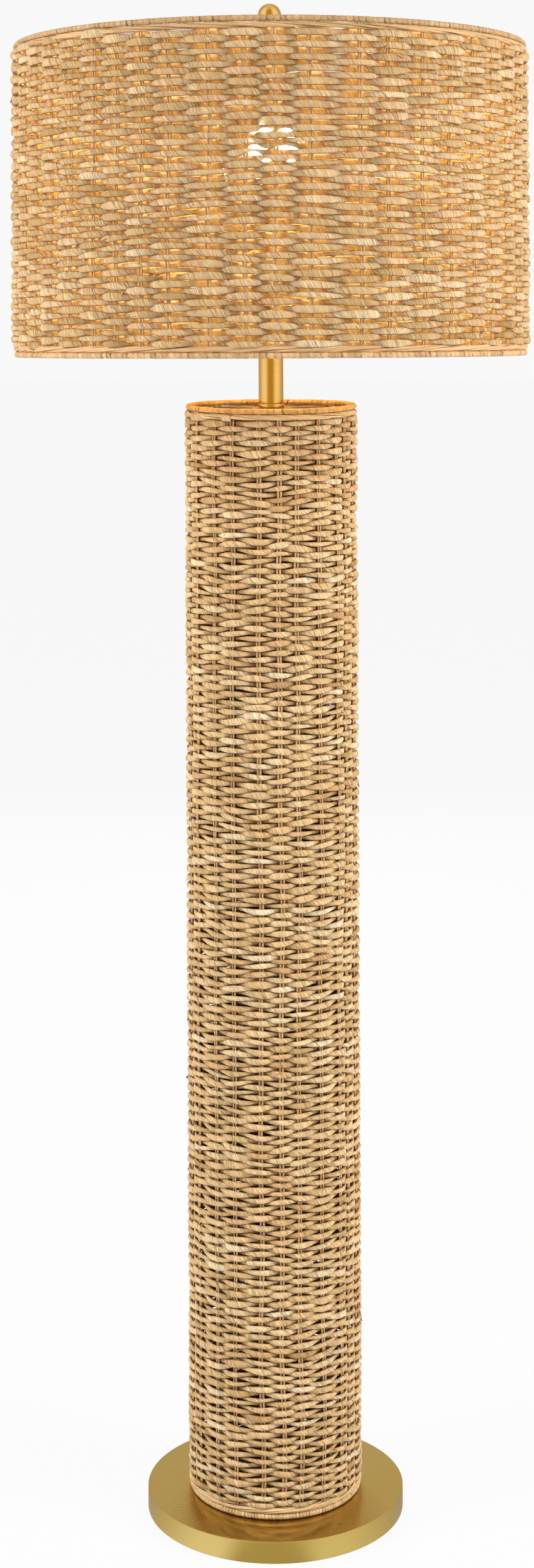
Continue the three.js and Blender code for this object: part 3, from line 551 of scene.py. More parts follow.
def new_material(name, colour, roughness, metallic=0.0, specular=0.5):
    """A material with its shader's plain values set."""
    material = bpy.data.materials.new(name)
    material.use_nodes = True
    tree = material.node_tree
    shader = tree.nodes["Principled BSDF"]
    shader.inputs["Base Color"].default_value = (*colour, 1.0)
    shader.inputs["Roughness"].default_value = roughness
    shader.inputs["Metallic"].default_value = metallic
    shader.inputs["Specular IOR Level"].default_value = specular
    return material, tree, shader


def bump(tree, shader, height, distance):
    """Relief of a height from 0 to 1 over a distance."""
    node = tree.nodes.new("ShaderNodeBump")
    node.inputs["Strength"].default_value = 1.0
    node.inputs["Distance"].default_value = distance
    tree.links.new(height, node.inputs["Height"])
    tree.links.new(node.outputs[0], shader.inputs["Normal"])


# Shared effects

def fibre_group():
    """Plant fibre on an attribute (millimetres along, cos t, sin t), turned round by Twist radians per
    millimetre: fine streaks, broad folds, thin creases where a fold ends, which the materials use for painted
    shade and for grooves in the relief, blotches and small stains."""
    tree, given, made = new_group(
        "plant_fibre",
        [("Fibre", "NodeSocketVector", None), ("Twist", "NodeSocketFloat", 0.0),
         ("Girth", "NodeSocketFloat", 2.4), ("Stretch", "NodeSocketFloat", 0.16)],
        [("Streaks", "NodeSocketFloat"), ("Folds", "NodeSocketFloat"), ("Creases", "NodeSocketFloat"),
         ("Blotches", "NodeSocketFloat"), ("Stains", "NodeSocketFloat"), ("Height", "NodeSocketFloat")],
    )
    apart = add_node(tree, "ShaderNodeSeparateXYZ")
    tree.links.new(given.outputs["Fibre"], apart.inputs[0])
    along = apart.outputs[0]
    ease = add_node(tree, "ShaderNodeTexNoise", noise_dimensions="1D", Scale=0.045, Detail=1.0)
    tree.links.new(along, ease.inputs["W"])
    turn = maths(tree, "MULTIPLY", along, given.outputs["Twist"])
    turn = maths(tree, "ADD", turn, maths(tree, "MULTIPLY", ease.outputs[0], 5.0))
    twisted = add_node(tree, "ShaderNodeVectorRotate", rotation_type="X_AXIS")
    tree.links.new(given.outputs["Fibre"], twisted.inputs["Vector"])
    tree.links.new(turn, twisted.inputs["Angle"])
    scale = add_node(tree, "ShaderNodeCombineXYZ")
    tree.links.new(given.outputs["Stretch"], scale.inputs[0])
    tree.links.new(given.outputs["Girth"], scale.inputs[1])
    tree.links.new(given.outputs["Girth"], scale.inputs[2])
    scaled = add_node(tree, "ShaderNodeVectorMath", operation="MULTIPLY")
    tree.links.new(twisted.outputs[0], scaled.inputs[0])
    tree.links.new(scale.outputs[0], scaled.inputs[1])
    place = scaled.outputs[0]
    streaks = spread(tree, grain(tree, place, Scale=2.1, Detail=3.0, Roughness=0.62), 0.3, 0.7, 0.0, 1.0)
    coarse = grain(tree, place, Scale=0.62, Detail=1.5, Roughness=0.5)
    folds = spread(tree, coarse, 0.32, 0.68, 0.0, 1.0)
    ridge = maths(tree, "ABSOLUTE", maths(tree, "SUBTRACT", coarse, 0.5))
    thin = spread(tree, grain(tree, place, Scale=0.35, Detail=1.0), 0.42, 0.62, 0.0, 1.0)
    creases = maths(tree, "MULTIPLY", spread(tree, ridge, 0.005, 0.055, 1.0, 0.0), thin)
    broad = grain(tree, given.outputs["Fibre"], Scale=0.16, Detail=2.0, Roughness=0.55)
    blotches = spread(tree, broad, 0.40, 0.68, 0.0, 1.0)
    stains = spread(tree, grain(tree, place, Scale=0.5, Detail=4.0, Roughness=0.7), 0.66, 0.74, 0.0, 1.0)
    height = maths(tree, "ADD", maths(tree, "MULTIPLY", streaks, 0.35), maths(tree, "MULTIPLY", folds, 1.1))
    height = maths(tree, "SUBTRACT", height, maths(tree, "MULTIPLY", creases, 0.9))
    for label, socket in (("Streaks", streaks), ("Folds", folds), ("Creases", creases),
                          ("Blotches", blotches), ("Stains", stains), ("Height", height)):
        tree.links.new(socket, made.inputs[label])
    return tree


def brushing_group():
    """Fine lines left by brushing: noise stretched along the line direction, with faint handling marks."""
    tree, given, made = new_group(
        "brushed_lines",
        [("Vector", "NodeSocketVector", None)],
        [("Lines", "NodeSocketFloat"), ("Marks", "NodeSocketFloat")],
    )
    lines = grain(tree, given.outputs["Vector"], Scale=1.0, Detail=4.0, Roughness=0.7)
    place = add_node(tree, "ShaderNodeTexCoord")
    marks = grain(tree, place.outputs["Object"], Scale=14.0, Detail=3.0, Roughness=0.6)
    tree.links.new(spread(tree, lines, 0.25, 0.75, 0.0, 1.0), made.inputs["Lines"])
    tree.links.new(spread(tree, marks, 0.4, 0.75, 0.0, 1.0), made.inputs["Marks"])
    return tree


def studio_group(name, middle, ends, front, walls, corners, back):
    """The studio's colour in a direction: by degrees round from the front, and evener overhead."""
    tree, given, made = new_group(
        name, [("Direction", "NodeSocketVector", None)], [("Colour", "NodeSocketColor")])
    way = add_node(tree, "ShaderNodeSeparateXYZ")
    tree.links.new(given.outputs["Direction"], way.inputs[0])
    forward = maths(tree, "MULTIPLY", way.outputs[1], -1.0)
    turn = maths(tree, "ARCTAN2", way.outputs[0], forward)
    share = maths(tree, "ADD", maths(tree, "DIVIDE", turn, TURN), 0.5)
    stops = []
    for side, wall in zip((-1, 1), walls):
        for degrees, colour in zip(ends, (front, wall, wall, corners, back)):
            stops.append(((middle + side * degrees + 180) / 360, colour))
    level = ramp(tree, share, sorted(stops))
    above = spread(tree, way.outputs[2], 0.72, 0.98, 0.0, 1.0)
    tree.links.new(colour_mix(tree, "MIX", above, level, STUDIO_OVERHEAD), made.inputs["Colour"])
    return tree


FIBRE = fibre_group()
BRUSHING = brushing_group()
STUDIO = studio_group("studio_round", **STUDIO_ZONES)
FLOOR_SEEN = studio_group("floor_round", **FLOOR_ZONES)


# Materials

def look_parts(tree):
    """The fibre attribute, and the look attribute's four channels."""
    fibre = add_node(tree, "ShaderNodeAttribute", attribute_name="fibre")
    look = add_node(tree, "ShaderNodeAttribute", attribute_name="look")
    parts = add_node(tree, "ShaderNodeSeparateColor")
    tree.links.new(look.outputs["Color"], parts.inputs[0])
    return (fibre.outputs["Vector"], *parts.outputs, look.outputs["Alpha"])


def add_spill(tree, lit, glow):
    """Adds a painted glow, for the light that spills over the edges of the openings, to a glow colour of
    strength glow.
    """
    painted_spill = add_node(tree, "ShaderNodeAttribute", attribute_name="painted_spill").outputs["Fac"]
    return colour_mix(tree, "ADD", painted_spill, lit, tuple(channel / glow for channel in SPILL_COLOUR))


def blended(tree, base, mask, share, colour):
    """The base covered with a colour by a share of a mask."""
    return colour_mix(tree, "MIX", maths(tree, "MULTIPLY", mask, share), base, colour)


def toned(tree, base, mask, low, high):
    """The base times a value that goes from low to high with a mask from 0 to 1."""
    return colour_mix(tree, "MULTIPLY", 1.0, base, spread(tree, mask, 0.0, 1.0, low, high))


def leaf_material(name, tones, glow, inner_painted_shade):
    """Dried twisted leaf: straw to tan floats with oblique creases, and painted shade in the creases, along
    the edges between rows, where the floats dive behind a stake and inside the wall.

    The stretches that lie inside the wall take a painted glow for the bulb's light that comes through them,
    with a painted highlight along their upper side."""
    material, tree, shader = new_material(name, tones[2], 0.6, specular=0.3)
    fibre, tone, end, rare, inside = look_parts(tree)
    detail = use_group(tree, FIBRE, fibre, Twist=TURN / TWIST_LENGTH)
    streaks, folds, creases, blotches, stains, height = detail.outputs
    base = ramp(tree, tone, tuple(zip((0.0, 0.18, 0.5, 0.8, 1.0), tones)))
    base = colour_mix(tree, "MIX", spread(tree, rare, 0.88, 0.97, 0.0, 0.30), base, REDDISH_LEAF)
    base = colour_mix(tree, "MIX", spread(tree, rare, 0.08, 0.03, 0.0, 0.45), base, OLIVE_LEAF)
    base = toned(tree, base, folds, 0.80, 1.12)
    base = toned(tree, base, streaks, 0.90, 1.05)
    base = blended(tree, base, blotches, 0.34, LEAF_BLOTCH)
    # Painted shade in the creases
    base = blended(tree, base, creases, 0.72, LEAF_CREASE_SHADE)
    base = blended(tree, base, stains, 0.7, LEAF_STAIN)
    # Painted shade where the floats dive behind the stakes
    base = blended(tree, base, end, 0.72, LEAF_END_SHADE)
    # Painted shade on the stretches that lie inside the wall
    base = colour_mix(tree, "MULTIPLY", inside, base, INSIDE_WALL_PAINTED_SHADE)
    round_section = add_node(tree, "ShaderNodeSeparateXYZ")
    tree.links.new(fibre, round_section.inputs[0])
    facing_out = round_section.outputs[1]
    facing_up = round_section.outputs[2]
    # Painted shade on the faces of the strand that look into the tube, times the inner shade colour given
    facing_in = spread(tree, facing_out, -0.2, -0.8, 0.0, 1.0)
    base = colour_mix(tree, "MULTIPLY", facing_in, base, inner_painted_shade)
    # Painted shade along the strands' upper and lower edges, where two rows meet
    row_edge_shade = spread(tree, maths(tree, "ABSOLUTE", facing_out), 0.46, 0.10, 0.0, 0.72)
    base = colour_mix(tree, "MIX", row_edge_shade, base, LEAF_ROW_EDGE_SHADE)
    tree.links.new(base, shader.inputs["Base Color"])
    tree.links.new(spread(tree, streaks, 0.0, 1.0, 0.70, 0.50), shader.inputs["Roughness"])
    bump(tree, shader, height, LEAF_RELIEF)
    # Painted glow: emission on the stretches inside the wall, brighter along their upper side as a painted
    # highlight
    if glow:
        lit = ramp(tree, inside, PAINTED_LEAF_GLOW)
        lit = toned(tree, lit, folds, 0.50, 1.05)
        bright = spread(tree, facing_up, 0.12, 0.50, 0.0, 1.0)
        bright = maths(tree, "MULTIPLY", bright, spread(tree, inside, 0.55, 0.95, 0.0, 1.0))
        bright = maths(tree, "MULTIPLY", bright, spread(tree, rare, 0.30, 0.75, 0.20, 0.9))
        lit = colour_mix(tree, "MIX", bright, lit, PAINTED_LEAF_TOP_HIGHLIGHT)
        lit = add_spill(tree, lit, glow)
        tree.links.new(lit, shader.inputs["Emission Color"])
        shader.inputs["Emission Strength"].default_value = glow
    return material


def cane_material(name, light, dark, glow=0.0):
    """Smooth split cane: long straight fibres, light and dark by the turn or cane it belongs to."""
    material, tree, shader = new_material(name, light, 0.5, specular=0.4)
    fibre, tone, seam, _, inside = look_parts(tree)
    detail = use_group(tree, FIBRE, fibre, Girth=1.6, Stretch=0.10)
    streaks, folds, creases, _, stains, height = detail.outputs
    bright = tuple(min(1, channel * 1.15) for channel in light)
    base = ramp(tree, tone, ((0.0, dark), (0.55, light), (1.0, bright)))
    base = toned(tree, base, streaks, 0.80, 1.08)
    base = toned(tree, base, folds, 0.90, 1.06)
    # Painted shade in the creases, then stains, in the same brown
    base = blended(tree, base, creases, 0.35, CANE_STAIN_AND_CREASE_SHADE)
    base = blended(tree, base, stains, 0.4, CANE_STAIN_AND_CREASE_SHADE)
    # Dark joints between turns, and painted shade where a band's cane passes behind
    base = blended(tree, base, seam, 0.9, CANE_SEAM_AND_SHADE)
    tree.links.new(base, shader.inputs["Base Color"])
    tree.links.new(spread(tree, streaks, 0.0, 1.0, 0.60, 0.42), shader.inputs["Roughness"])
    bump(tree, shader, height, CANE_RELIEF)
    # Painted glow: emission on the parts of the cane that lie inside the wall
    if glow:
        lit = colour_mix(tree, "MIX", inside, BLACK, PAINTED_CANE_GLOW)
        lit = add_spill(tree, lit, glow)
        tree.links.new(lit, shader.inputs["Emission Color"])
        shader.inputs["Emission Strength"].default_value = glow
    return material


def brass_material(name, colour, roughness, stretch=None, anisotropic=0.0):
    """Brushed and lacquered brass: fine lines in one direction, faint marks, satin reflections.

    Without a stretch, the lines follow the piece's own brush attribute."""
    material, tree, shader = new_material(name, colour, roughness, 1.0)
    shader.inputs["Anisotropic"].default_value = anisotropic
    if stretch:
        place = add_node(tree, "ShaderNodeTexCoord")
        mapping = add_node(tree, "ShaderNodeMapping")
        mapping.inputs["Scale"].default_value = stretch
        tree.links.new(place.outputs["Object"], mapping.inputs["Vector"])
        vector = mapping.outputs[0]
    else:
        vector = add_node(tree, "ShaderNodeAttribute", attribute_name="brush").outputs["Vector"]
    lines, marks = use_group(tree, BRUSHING, vector).outputs
    tree.links.new(toned(tree, colour, lines, 0.94, 1.05), shader.inputs["Base Color"])
    rough = maths(tree, "ADD", maths(tree, "MULTIPLY", lines, 0.07), maths(tree, "MULTIPLY", marks, 0.04))
    tree.links.new(maths(tree, "ADD", rough, roughness - 0.05), shader.inputs["Roughness"])
    bump(tree, shader, lines, BRUSH_RELIEF)
    return material


def plain_metal(name, colour, roughness):
    """Plated or bare metal with faint marks."""
    return brass_material(name, colour, roughness, (60.0, 60.0, 60.0))


def plastic_material(name, colour, roughness):
    """Moulded plastic, pressed paper or felt: a fine even grain."""
    material, tree, shader = new_material(name, colour, roughness)
    place = add_node(tree, "ShaderNodeTexCoord")
    fine = grain(tree, place.outputs["Object"], Scale=900.0, Detail=2.0)
    base = colour_mix(tree, "MULTIPLY", 1.0, colour, spread(tree, fine, 0.3, 0.7, 0.85, 1.1))
    tree.links.new(base, shader.inputs["Base Color"])
    bump(tree, shader, fine, GRAIN_RELIEF)
    return material


def lit_glass_material(name):
    """Frosted glass of a lit bulb: warm light, whiter in the middle of the ball than at the neck."""
    material, tree, shader = new_material(name, (0.95, 0.88, 0.78), 0.35)
    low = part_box("bulb_glass")[0]
    place = add_node(tree, "ShaderNodeTexCoord")
    apart = add_node(tree, "ShaderNodeSeparateXYZ")
    tree.links.new(place.outputs["Object"], apart.inputs[0])
    rise = spread(tree, apart.outputs[2], low.z, low.z + BULB_GLOW_RISE, 0.0, 1.0)
    glow = ramp(tree, rise, ((0.0, (1.0, 0.56, 0.22)), (1.0, (1.0, 0.80, 0.50))))
    tree.links.new(glow, shader.inputs["Emission Color"])
    shader.inputs["Emission Strength"].default_value = BULB_GLOW
    return material


COLUMN_TONES = ((0.52, 0.31, 0.13), (0.67, 0.435, 0.205), (0.78, 0.54, 0.27), (0.85, 0.635, 0.36),
                (0.90, 0.74, 0.48))
SHADE_TONES = ((0.43, 0.265, 0.11), (0.56, 0.375, 0.175), (0.67, 0.465, 0.245), (0.75, 0.55, 0.32),
               (0.82, 0.65, 0.42))
# The column's leaf takes painted shade on its inward faces, the shade's leaf takes none
COLUMN_LEAF = leaf_material("twisted_leaf", COLUMN_TONES, 0.0, (0.45, 0.38, 0.30))
# The shade's leaf and canes take a painted glow for the bulb's light through them
SHADE_LEAF = leaf_material("twisted_leaf_lit", SHADE_TONES, 0.68, (1.0, 1.0, 1.0))
STAKE_CANE = cane_material("stake_cane", (0.62, 0.38, 0.185), (0.46, 0.265, 0.12))
LIT_STAKE_CANE = cane_material("stake_cane_lit", (0.60, 0.37, 0.18), (0.44, 0.25, 0.115), 0.10)
TRIM_CANE = cane_material("trim_cane", (0.77, 0.53, 0.27), (0.64, 0.42, 0.20))
SHADE_TRIM_CANE = cane_material("shade_trim_cane", (0.66, 0.42, 0.21), (0.50, 0.31, 0.145), 0.45)
# The column's top hoop is a copy of the trim cane coloured darker and more orange, painted light for the
# bulb's warm light that falls into the mouth
MOUTH_CANE_PAINTED_LAMPLIGHT = cane_material("mouth_cane_painted_lamplight", (0.72, 0.40, 0.13), (0.60, 0.32, 0.095))
BASE_BRASS = brass_material("base_brass", (0.71, 0.53, 0.17), 0.28, None, 0.95)
POLE_BRASS = brass_material("pole_brass", (0.87, 0.55, 0.165), 0.11, (30.0, 30.0, 1500.0))
SOCKET_BRASS = plain_metal("socket_brass_plate", (0.70, 0.50, 0.18), 0.25)
STEEL = plain_metal("zinc_plate", (0.55, 0.56, 0.55), 0.38)
IRON = plastic_material("cast_iron", (0.045, 0.045, 0.042), 0.8)
FELT = plastic_material("black_felt", (0.02, 0.018, 0.016), 0.95)
PLASTIC = plastic_material("moulded_plastic", (0.015, 0.013, 0.012), 0.45)
PAPER = plastic_material("fibre_paper_sleeve", (0.40, 0.27, 0.12), 0.85)
BULB_GLASS = lit_glass_material("lit_frosted_glass")
CAP_METAL = plain_metal("bulb_cap_metal", (0.62, 0.61, 0.57), 0.3)


# Weaving

class Stakes:
    """Upright stakes round a circle, numbered from the back, with a small drift in angle as they rise."""

    def __init__(self, rng, front_degrees, back_count, radius, drift, lean=0.0, lean_start=0.0, top=1.0):
        front = np.radians(np.asarray(front_degrees)) - math.pi / 2
        gap = (TURN - (front[-1] - front[0])) / (back_count + 1)
        back = front[-1] + gap * np.arange(1, back_count + 1)
        half = back_count // 2
        self.angles = np.concatenate([back[half:] - TURN, front, back[:half]])
        self.count = len(self.angles)
        self.radius = radius
        self.drift = drift
        self.lean = lean
        self.lean_start = lean_start
        self.top = top
        self.field = waves(rng, 5, 1, 4)
        self.bulge = waves(rng, 6, 1, 4)

    def angle(self, number, height):
        """Angle of stake number, which goes on counting past one turn, at a height."""
        number = np.asarray(number)
        turns = number // self.count
        base = self.angles[number % self.count]
        return base + turns * TURN + self.drift * self.field(base, height * 9)

    def swell(self, angle, height):
        """How far the uneven wall stands out or in."""
        return WALL_SWELL * self.bulge(angle, height * 12)

    def settle(self, points):
        """The top of the tube leans forward and its front sags: height grows by (lean * y + sag) * ease,
        with sag = front sag * (y - hypot(y, blend)) / 2 and ease = 3 s^2 - 2 s^3 towards the top."""
        points = np.array(points, float)
        share = np.clip((points[..., 2] - self.lean_start) / (self.top - self.lean_start), 0, 1)
        y = points[..., 1]
        sag = COLUMN_FRONT_SAG * 0.5 * (y - np.hypot(y, SAG_BLEND)) if self.lean else 0
        points[..., 2] += (self.lean * y + sag) * share ** 2 * (3 - 2 * share)
        return points


class Strand:
    """One continuous twisted strand, wound round the stakes from the bottom of a tube to its top.

    At x stakes along it, its radius is stake radius + sway cos(pi x), and its height rises one row pitch
    each turn. Its section is an ellipse whose height is greatest where it passes in front of a stake.
    """

    def __init__(self, rng, stakes, bottom, top, rows, pitch_spread, sway, thickness, inside_share, outer,
                 bulb_openings=(), close_from=0.0, close_at=0.0):
        self.stakes = stakes
        self.bottom = bottom
        self.top = top
        self.pitch = (top - bottom) / rows
        self.pitch_spread = pitch_spread
        self.sway = sway
        self.thickness = thickness
        self.inside_share = inside_share
        self.outer = outer
        self.bulb_openings = bulb_openings
        self.close_from = close_from
        self.close_at = close_at
        self.total = round((rows + 2 * ROWS_IN_BAND - 1) * stakes.count)
        floats = self.total // 2 + 2
        run = rough_line(rng, floats // 5)(np.arange(floats) / 5)
        self.tone = np.clip(0.52 + 0.24 * run + 0.17 * rng.normal(size=floats), 0, 1)
        self.rare = rng.random(floats)
        self.tall = np.clip(rng.normal(1.0, TALL_SPREAD, floats), 0.70, 1.28)
        self.lift = rng.normal(0, LIFT_SPREAD, floats) * self.pitch
        self.push = rng.normal(0, PUSH_SPREAD, floats) * thickness
        self.lean = rng.uniform(-LEAN_SPREAD, LEAN_SPREAD, floats)
        self.drop = rng.normal(0, DROP_SPREAD, floats + 1) * self.pitch
        self.broad = waves(rng, 9, 1, 6)
        self.close = waves(rng, 9, 4, 13)
        self.plump = rough_line(rng, self.total * 2)
        self.flat = rough_line(rng, self.total * 2)

    def course(self, x):
        """The strand's middle, section and look at x.

        The angle goes evenly from stake to stake. The level rises evenly with x, plus each float's lift, the
        drop of its ends and two fields of waves. At p stakes from a float's middle, front = cos(pi p / 2),
        height = pitch * (end share + (float share - end share) * front^1.25, and the like for the inside),
        and depth = thickness * (end depth share + (1 - end depth share) * front). The edges of the strands
        next to an opening keep outside its round outline, so that they part round it.
        """
        low = np.floor(x).astype(int)
        share = x / self.total
        share = share * (1 - self.pitch_spread) + self.pitch_spread * share ** 2
        reach = ROWS_IN_BAND * self.pitch
        plain = self.bottom - reach + share * (self.top - self.bottom + 2 * reach)
        level = plain
        near = self.stakes.angle(low, level)
        angle = near + (self.stakes.angle(low + 1, level) - near) * (x - low)
        number = np.round(x / 2).astype(int)
        p = x - 2 * number
        p = p - self.lean[number] * (1 - p ** 2)
        front = np.clip(np.cos(np.pi * p / 2), 0, 1)
        step = self.pitch * (1 + self.pitch_spread * (2 * x / self.total - 1))
        inside = np.clip((0.62 - front) / 0.42, 0, 1)
        inside = inside * inside * (3 - 2 * inside)
        degrees = np.degrees(angle % TURN) - 270
        close = np.clip(0.75 + 1.6 * np.sin(angle), 0, 1)
        if self.close_at:
            close = np.maximum(close, (plain - self.close_from) / (self.close_at - self.close_from))
            from_bulb = np.hypot((degrees - BULB_PLACE[0]) / BULB_SPREAD[0],
                                 (plain - BULB_PLACE[1]) / BULB_SPREAD[1])
            close = np.clip(np.maximum(close, 1.6 - from_bulb), 0, 1)
        inside_share = self.inside_share + (CLOSE_INSIDE_SHARE - self.inside_share) * close
        end_share = END_HEIGHT_SHARE + (CLOSE_END_SHARE - END_HEIGHT_SHARE) * close
        height = step * (
            end_share
            + (FLOAT_HEIGHT_SHARE * self.tall[number] - end_share) * front ** 1.25
            + (inside_share - end_share) * inside
        )
        end = np.floor(x / 2).astype(int)
        level = level + self.lift[number] * front ** 2 + self.drop[end] * (1 - front) ** 2
        edge = np.clip(np.minimum(level - self.bottom, self.top - level) / (WAVE_START * self.pitch), 0, 1)
        level = level + edge * step * (BROAD_WAVE * self.broad(angle, level * WAVE_TURNS)
                                       + CLOSE_WAVE * self.close(angle, level * WAVE_TURNS))
        plump = 1 + 0.11 * self.plump(x * 2)
        under_band = np.clip((plain - self.top) / self.pitch + 1, 0, 1) * (2.4 - 1.4 * front)
        high_edge = level + height * plump / 2 + UNDER_BAND_RISE * step * under_band
        low_edge = level - height * plump / 2
        for place, place_height, half_width, half_height in self.bulb_openings:
            across = np.radians(degrees - place) * self.stakes.radius / MM / half_width
            edge = half_height * (1.3 * np.sqrt(np.clip(1 - across ** 2, 0, 1)) - 0.3 * across ** 2) * MM
            above = plain - step * (degrees - place) / 360 >= place_height * MM
            low_edge = np.where(above, np.maximum(low_edge, place_height * MM + edge), low_edge)
            high_edge = np.where(above, np.maximum(high_edge, low_edge + LEAST_STRAND_HEIGHT),
                                 np.minimum(high_edge, place_height * MM - edge))
            low_edge = np.minimum(low_edge, high_edge - LEAST_STRAND_HEIGHT)
        level = (high_edge + low_edge) / 2
        height = high_edge - low_edge
        radius = self.stakes.radius + self.sway * np.cos(np.pi * x) + self.push[number] * front
        radius = radius + self.stakes.swell(angle, level)
        depth = self.thickness * (END_DEPTH_SHARE + (1 - END_DEPTH_SHARE) * front)
        depth = depth * (1 + 0.12 * self.flat(x * 2))
        radius = np.minimum(radius, self.outer - depth / 2)
        return angle, level, radius, height, depth, number, front, inside

    def pieces(self, name, parts):
        """The strand as tubes, cut into parts at equal lengths."""
        made = []
        t = np.arange(STRAND_SIDES) * TURN / STRAND_SIDES
        for part in range(parts):
            first = round(self.total * part / parts)
            last = round(self.total * (part + 1) / parts)
            x = np.linspace(first, last, (last - first) * STRAND_STEPS + 1)
            angle, level, radius, height, depth, number, front, inside = self.course(x)
            out = outward(angle)
            centre = out * radius[:, None] + upward(angle) * level[:, None]
            points, faces = loops_of(centre, out, upward(angle), depth / 2, height / 2, STRAND_SIDES, False)
            shape = (len(x), STRAND_SIDES)
            length = self.stakes.radius * angle / MM
            # How far the strand has dived behind a stake, for its painted shade
            end = (1 - front) ** 2.3
            fibre = spread_over(shape, length[:, None], np.cos(t), np.sin(t))
            look = spread_over(shape, self.tone[number][:, None], end[:, None], self.rare[number][:, None],
                               inside[:, None])
            made.append(piece_from(f"{name}_{part + 1}", self.stakes.settle(points), faces,
                                   strand_attributes(fibre, look)))
        return made

    def loose_pieces(self, name, rng, count, lengths, half_widths, rise, taper, sides, steps):
        """Short loose ends that leave the floats: centre = start + heading * length * s + out * rise * s^2,
        with a round section that narrows as (1 - s)^taper."""
        x = 2 * rng.integers(1, self.total // 2 - 1, count) + rng.uniform(-LOOSE_PLACE, LOOSE_PLACE, count)
        angle, level, radius, height, depth, number, _, _ = self.course(x)
        out = outward(angle)
        along = sideways(angle)
        up = np.array([0.0, 0.0, 1.0])
        centre = out * radius[:, None] + up * level[:, None]
        side = rng.uniform(-0.8, 0.8, count)
        begin = centre + out * (depth * 0.30)[:, None] + up * (side * height * 0.36)[:, None]
        slope = rng.normal(0, 0.5, count) + 0.5 * side
        heading = along * (np.cos(slope) * rng.choice([-1, 1], count))[:, None] + up * np.sin(slope)[:, None]
        length = rng.uniform(*lengths, count)
        lift = rng.uniform(*rise, count)
        s = np.linspace(0, 1, steps)
        curl = rng.normal(0, 0.25, count)
        path = (begin[:, None, :] + heading[:, None, :] * (length[:, None] * s)[..., None]
                + out[:, None, :] * (lift[:, None] * s ** 2)[..., None]
                + up * (curl * length)[:, None, None] * (s ** 2)[None, :, None])
        half = rng.uniform(*half_widths, count)[:, None] * (1.02 - s) ** taper
        across = np.cross(heading, out)
        t = np.arange(sides) * TURN / sides
        ring = (out[:, None, None, :] * np.cos(t)[None, None, :, None]
                + across[:, None, None, :] * np.sin(t)[None, None, :, None])
        points = path[:, :, None, :] + ring * half[:, :, None, None]
        each = steps * sides
        quads = grid_quads(steps, sides, wrap_columns=True)
        starts = (np.arange(count) * each)[:, None, None]
        quads = (quads[None] + starts).reshape(-1, 4)
        caps = np.stack([np.arange(sides), each - 1 - np.arange(sides)])
        caps = (caps[None] + starts).reshape(-1, sides)
        shape = (count, steps, sides)
        reached = length[:, None] * s / MM + LOOSE_OFFSET * np.arange(count)[:, None]
        fibre = spread_over(shape, reached[..., None], np.cos(t), np.sin(t))
        darker = np.clip(self.tone[number] - 0.15, 0, 1)
        # The end channel darkens the loose ends towards their tips, in the colour of the floats' painted end
        # shade
        look = spread_over(shape, darker[:, None, None], 0.35 * s[None, :, None] ** 3, 0.5, 0.0)
        return piece_from(name, self.stakes.settle(points), [quads, caps], strand_attributes(fibre, look))


def with_spill(thing, openings):
    """Adds an attribute: how much painted glow, for the bulb's light that spills over an opening's edge, each
    point near an opening takes, which is exp(-(gap / SPILL_REACH)^2) of the gap from the opening's edge."""
    points = np.empty(len(thing.data.vertices) * 3, np.float32)
    thing.data.vertices.foreach_get("co", points)
    points = points.reshape(-1, 3)
    degrees = np.degrees(np.arctan2(points[:, 0], -points[:, 1]))
    radius = np.hypot(points[:, 0], points[:, 1]) / MM
    painted_spill = np.zeros(len(points))
    for place, place_height, half_width, half_height in openings:
        across = np.radians(degrees - place) * radius
        rise = points[:, 2] / MM - place_height
        share = np.maximum(np.hypot(across / half_width, rise / half_height), 0.01)
        gap = np.hypot(across, rise) * np.clip(1 - 1 / share, 0, 1)
        strength = min(1.0, half_height / FULL_SPILL_HEIGHT)
        painted_spill = np.maximum(painted_spill, np.exp(-(gap / SPILL_REACH) ** 2) * strength)
    layer = thing.data.attributes.new("painted_spill", "FLOAT", "POINT")
    layer.data.foreach_set("value", painted_spill.astype(np.float32))


def cane_attributes(length, around, offset, tone, seam, inside):
    """Fibre and look attributes of a cane: fibres run straight along it. Seam and inside are numbers, or
    arrays along the length."""
    shape = (len(around), len(length))
    fibre = spread_over(shape, length / MM + offset, np.cos(around)[:, None], np.sin(around)[:, None])
    look = spread_over(shape, tone, seam, 0.0, inside)
    return fibre.swapaxes(0, 1).reshape(-1, 3), look.swapaxes(0, 1).reshape(-1, 4)


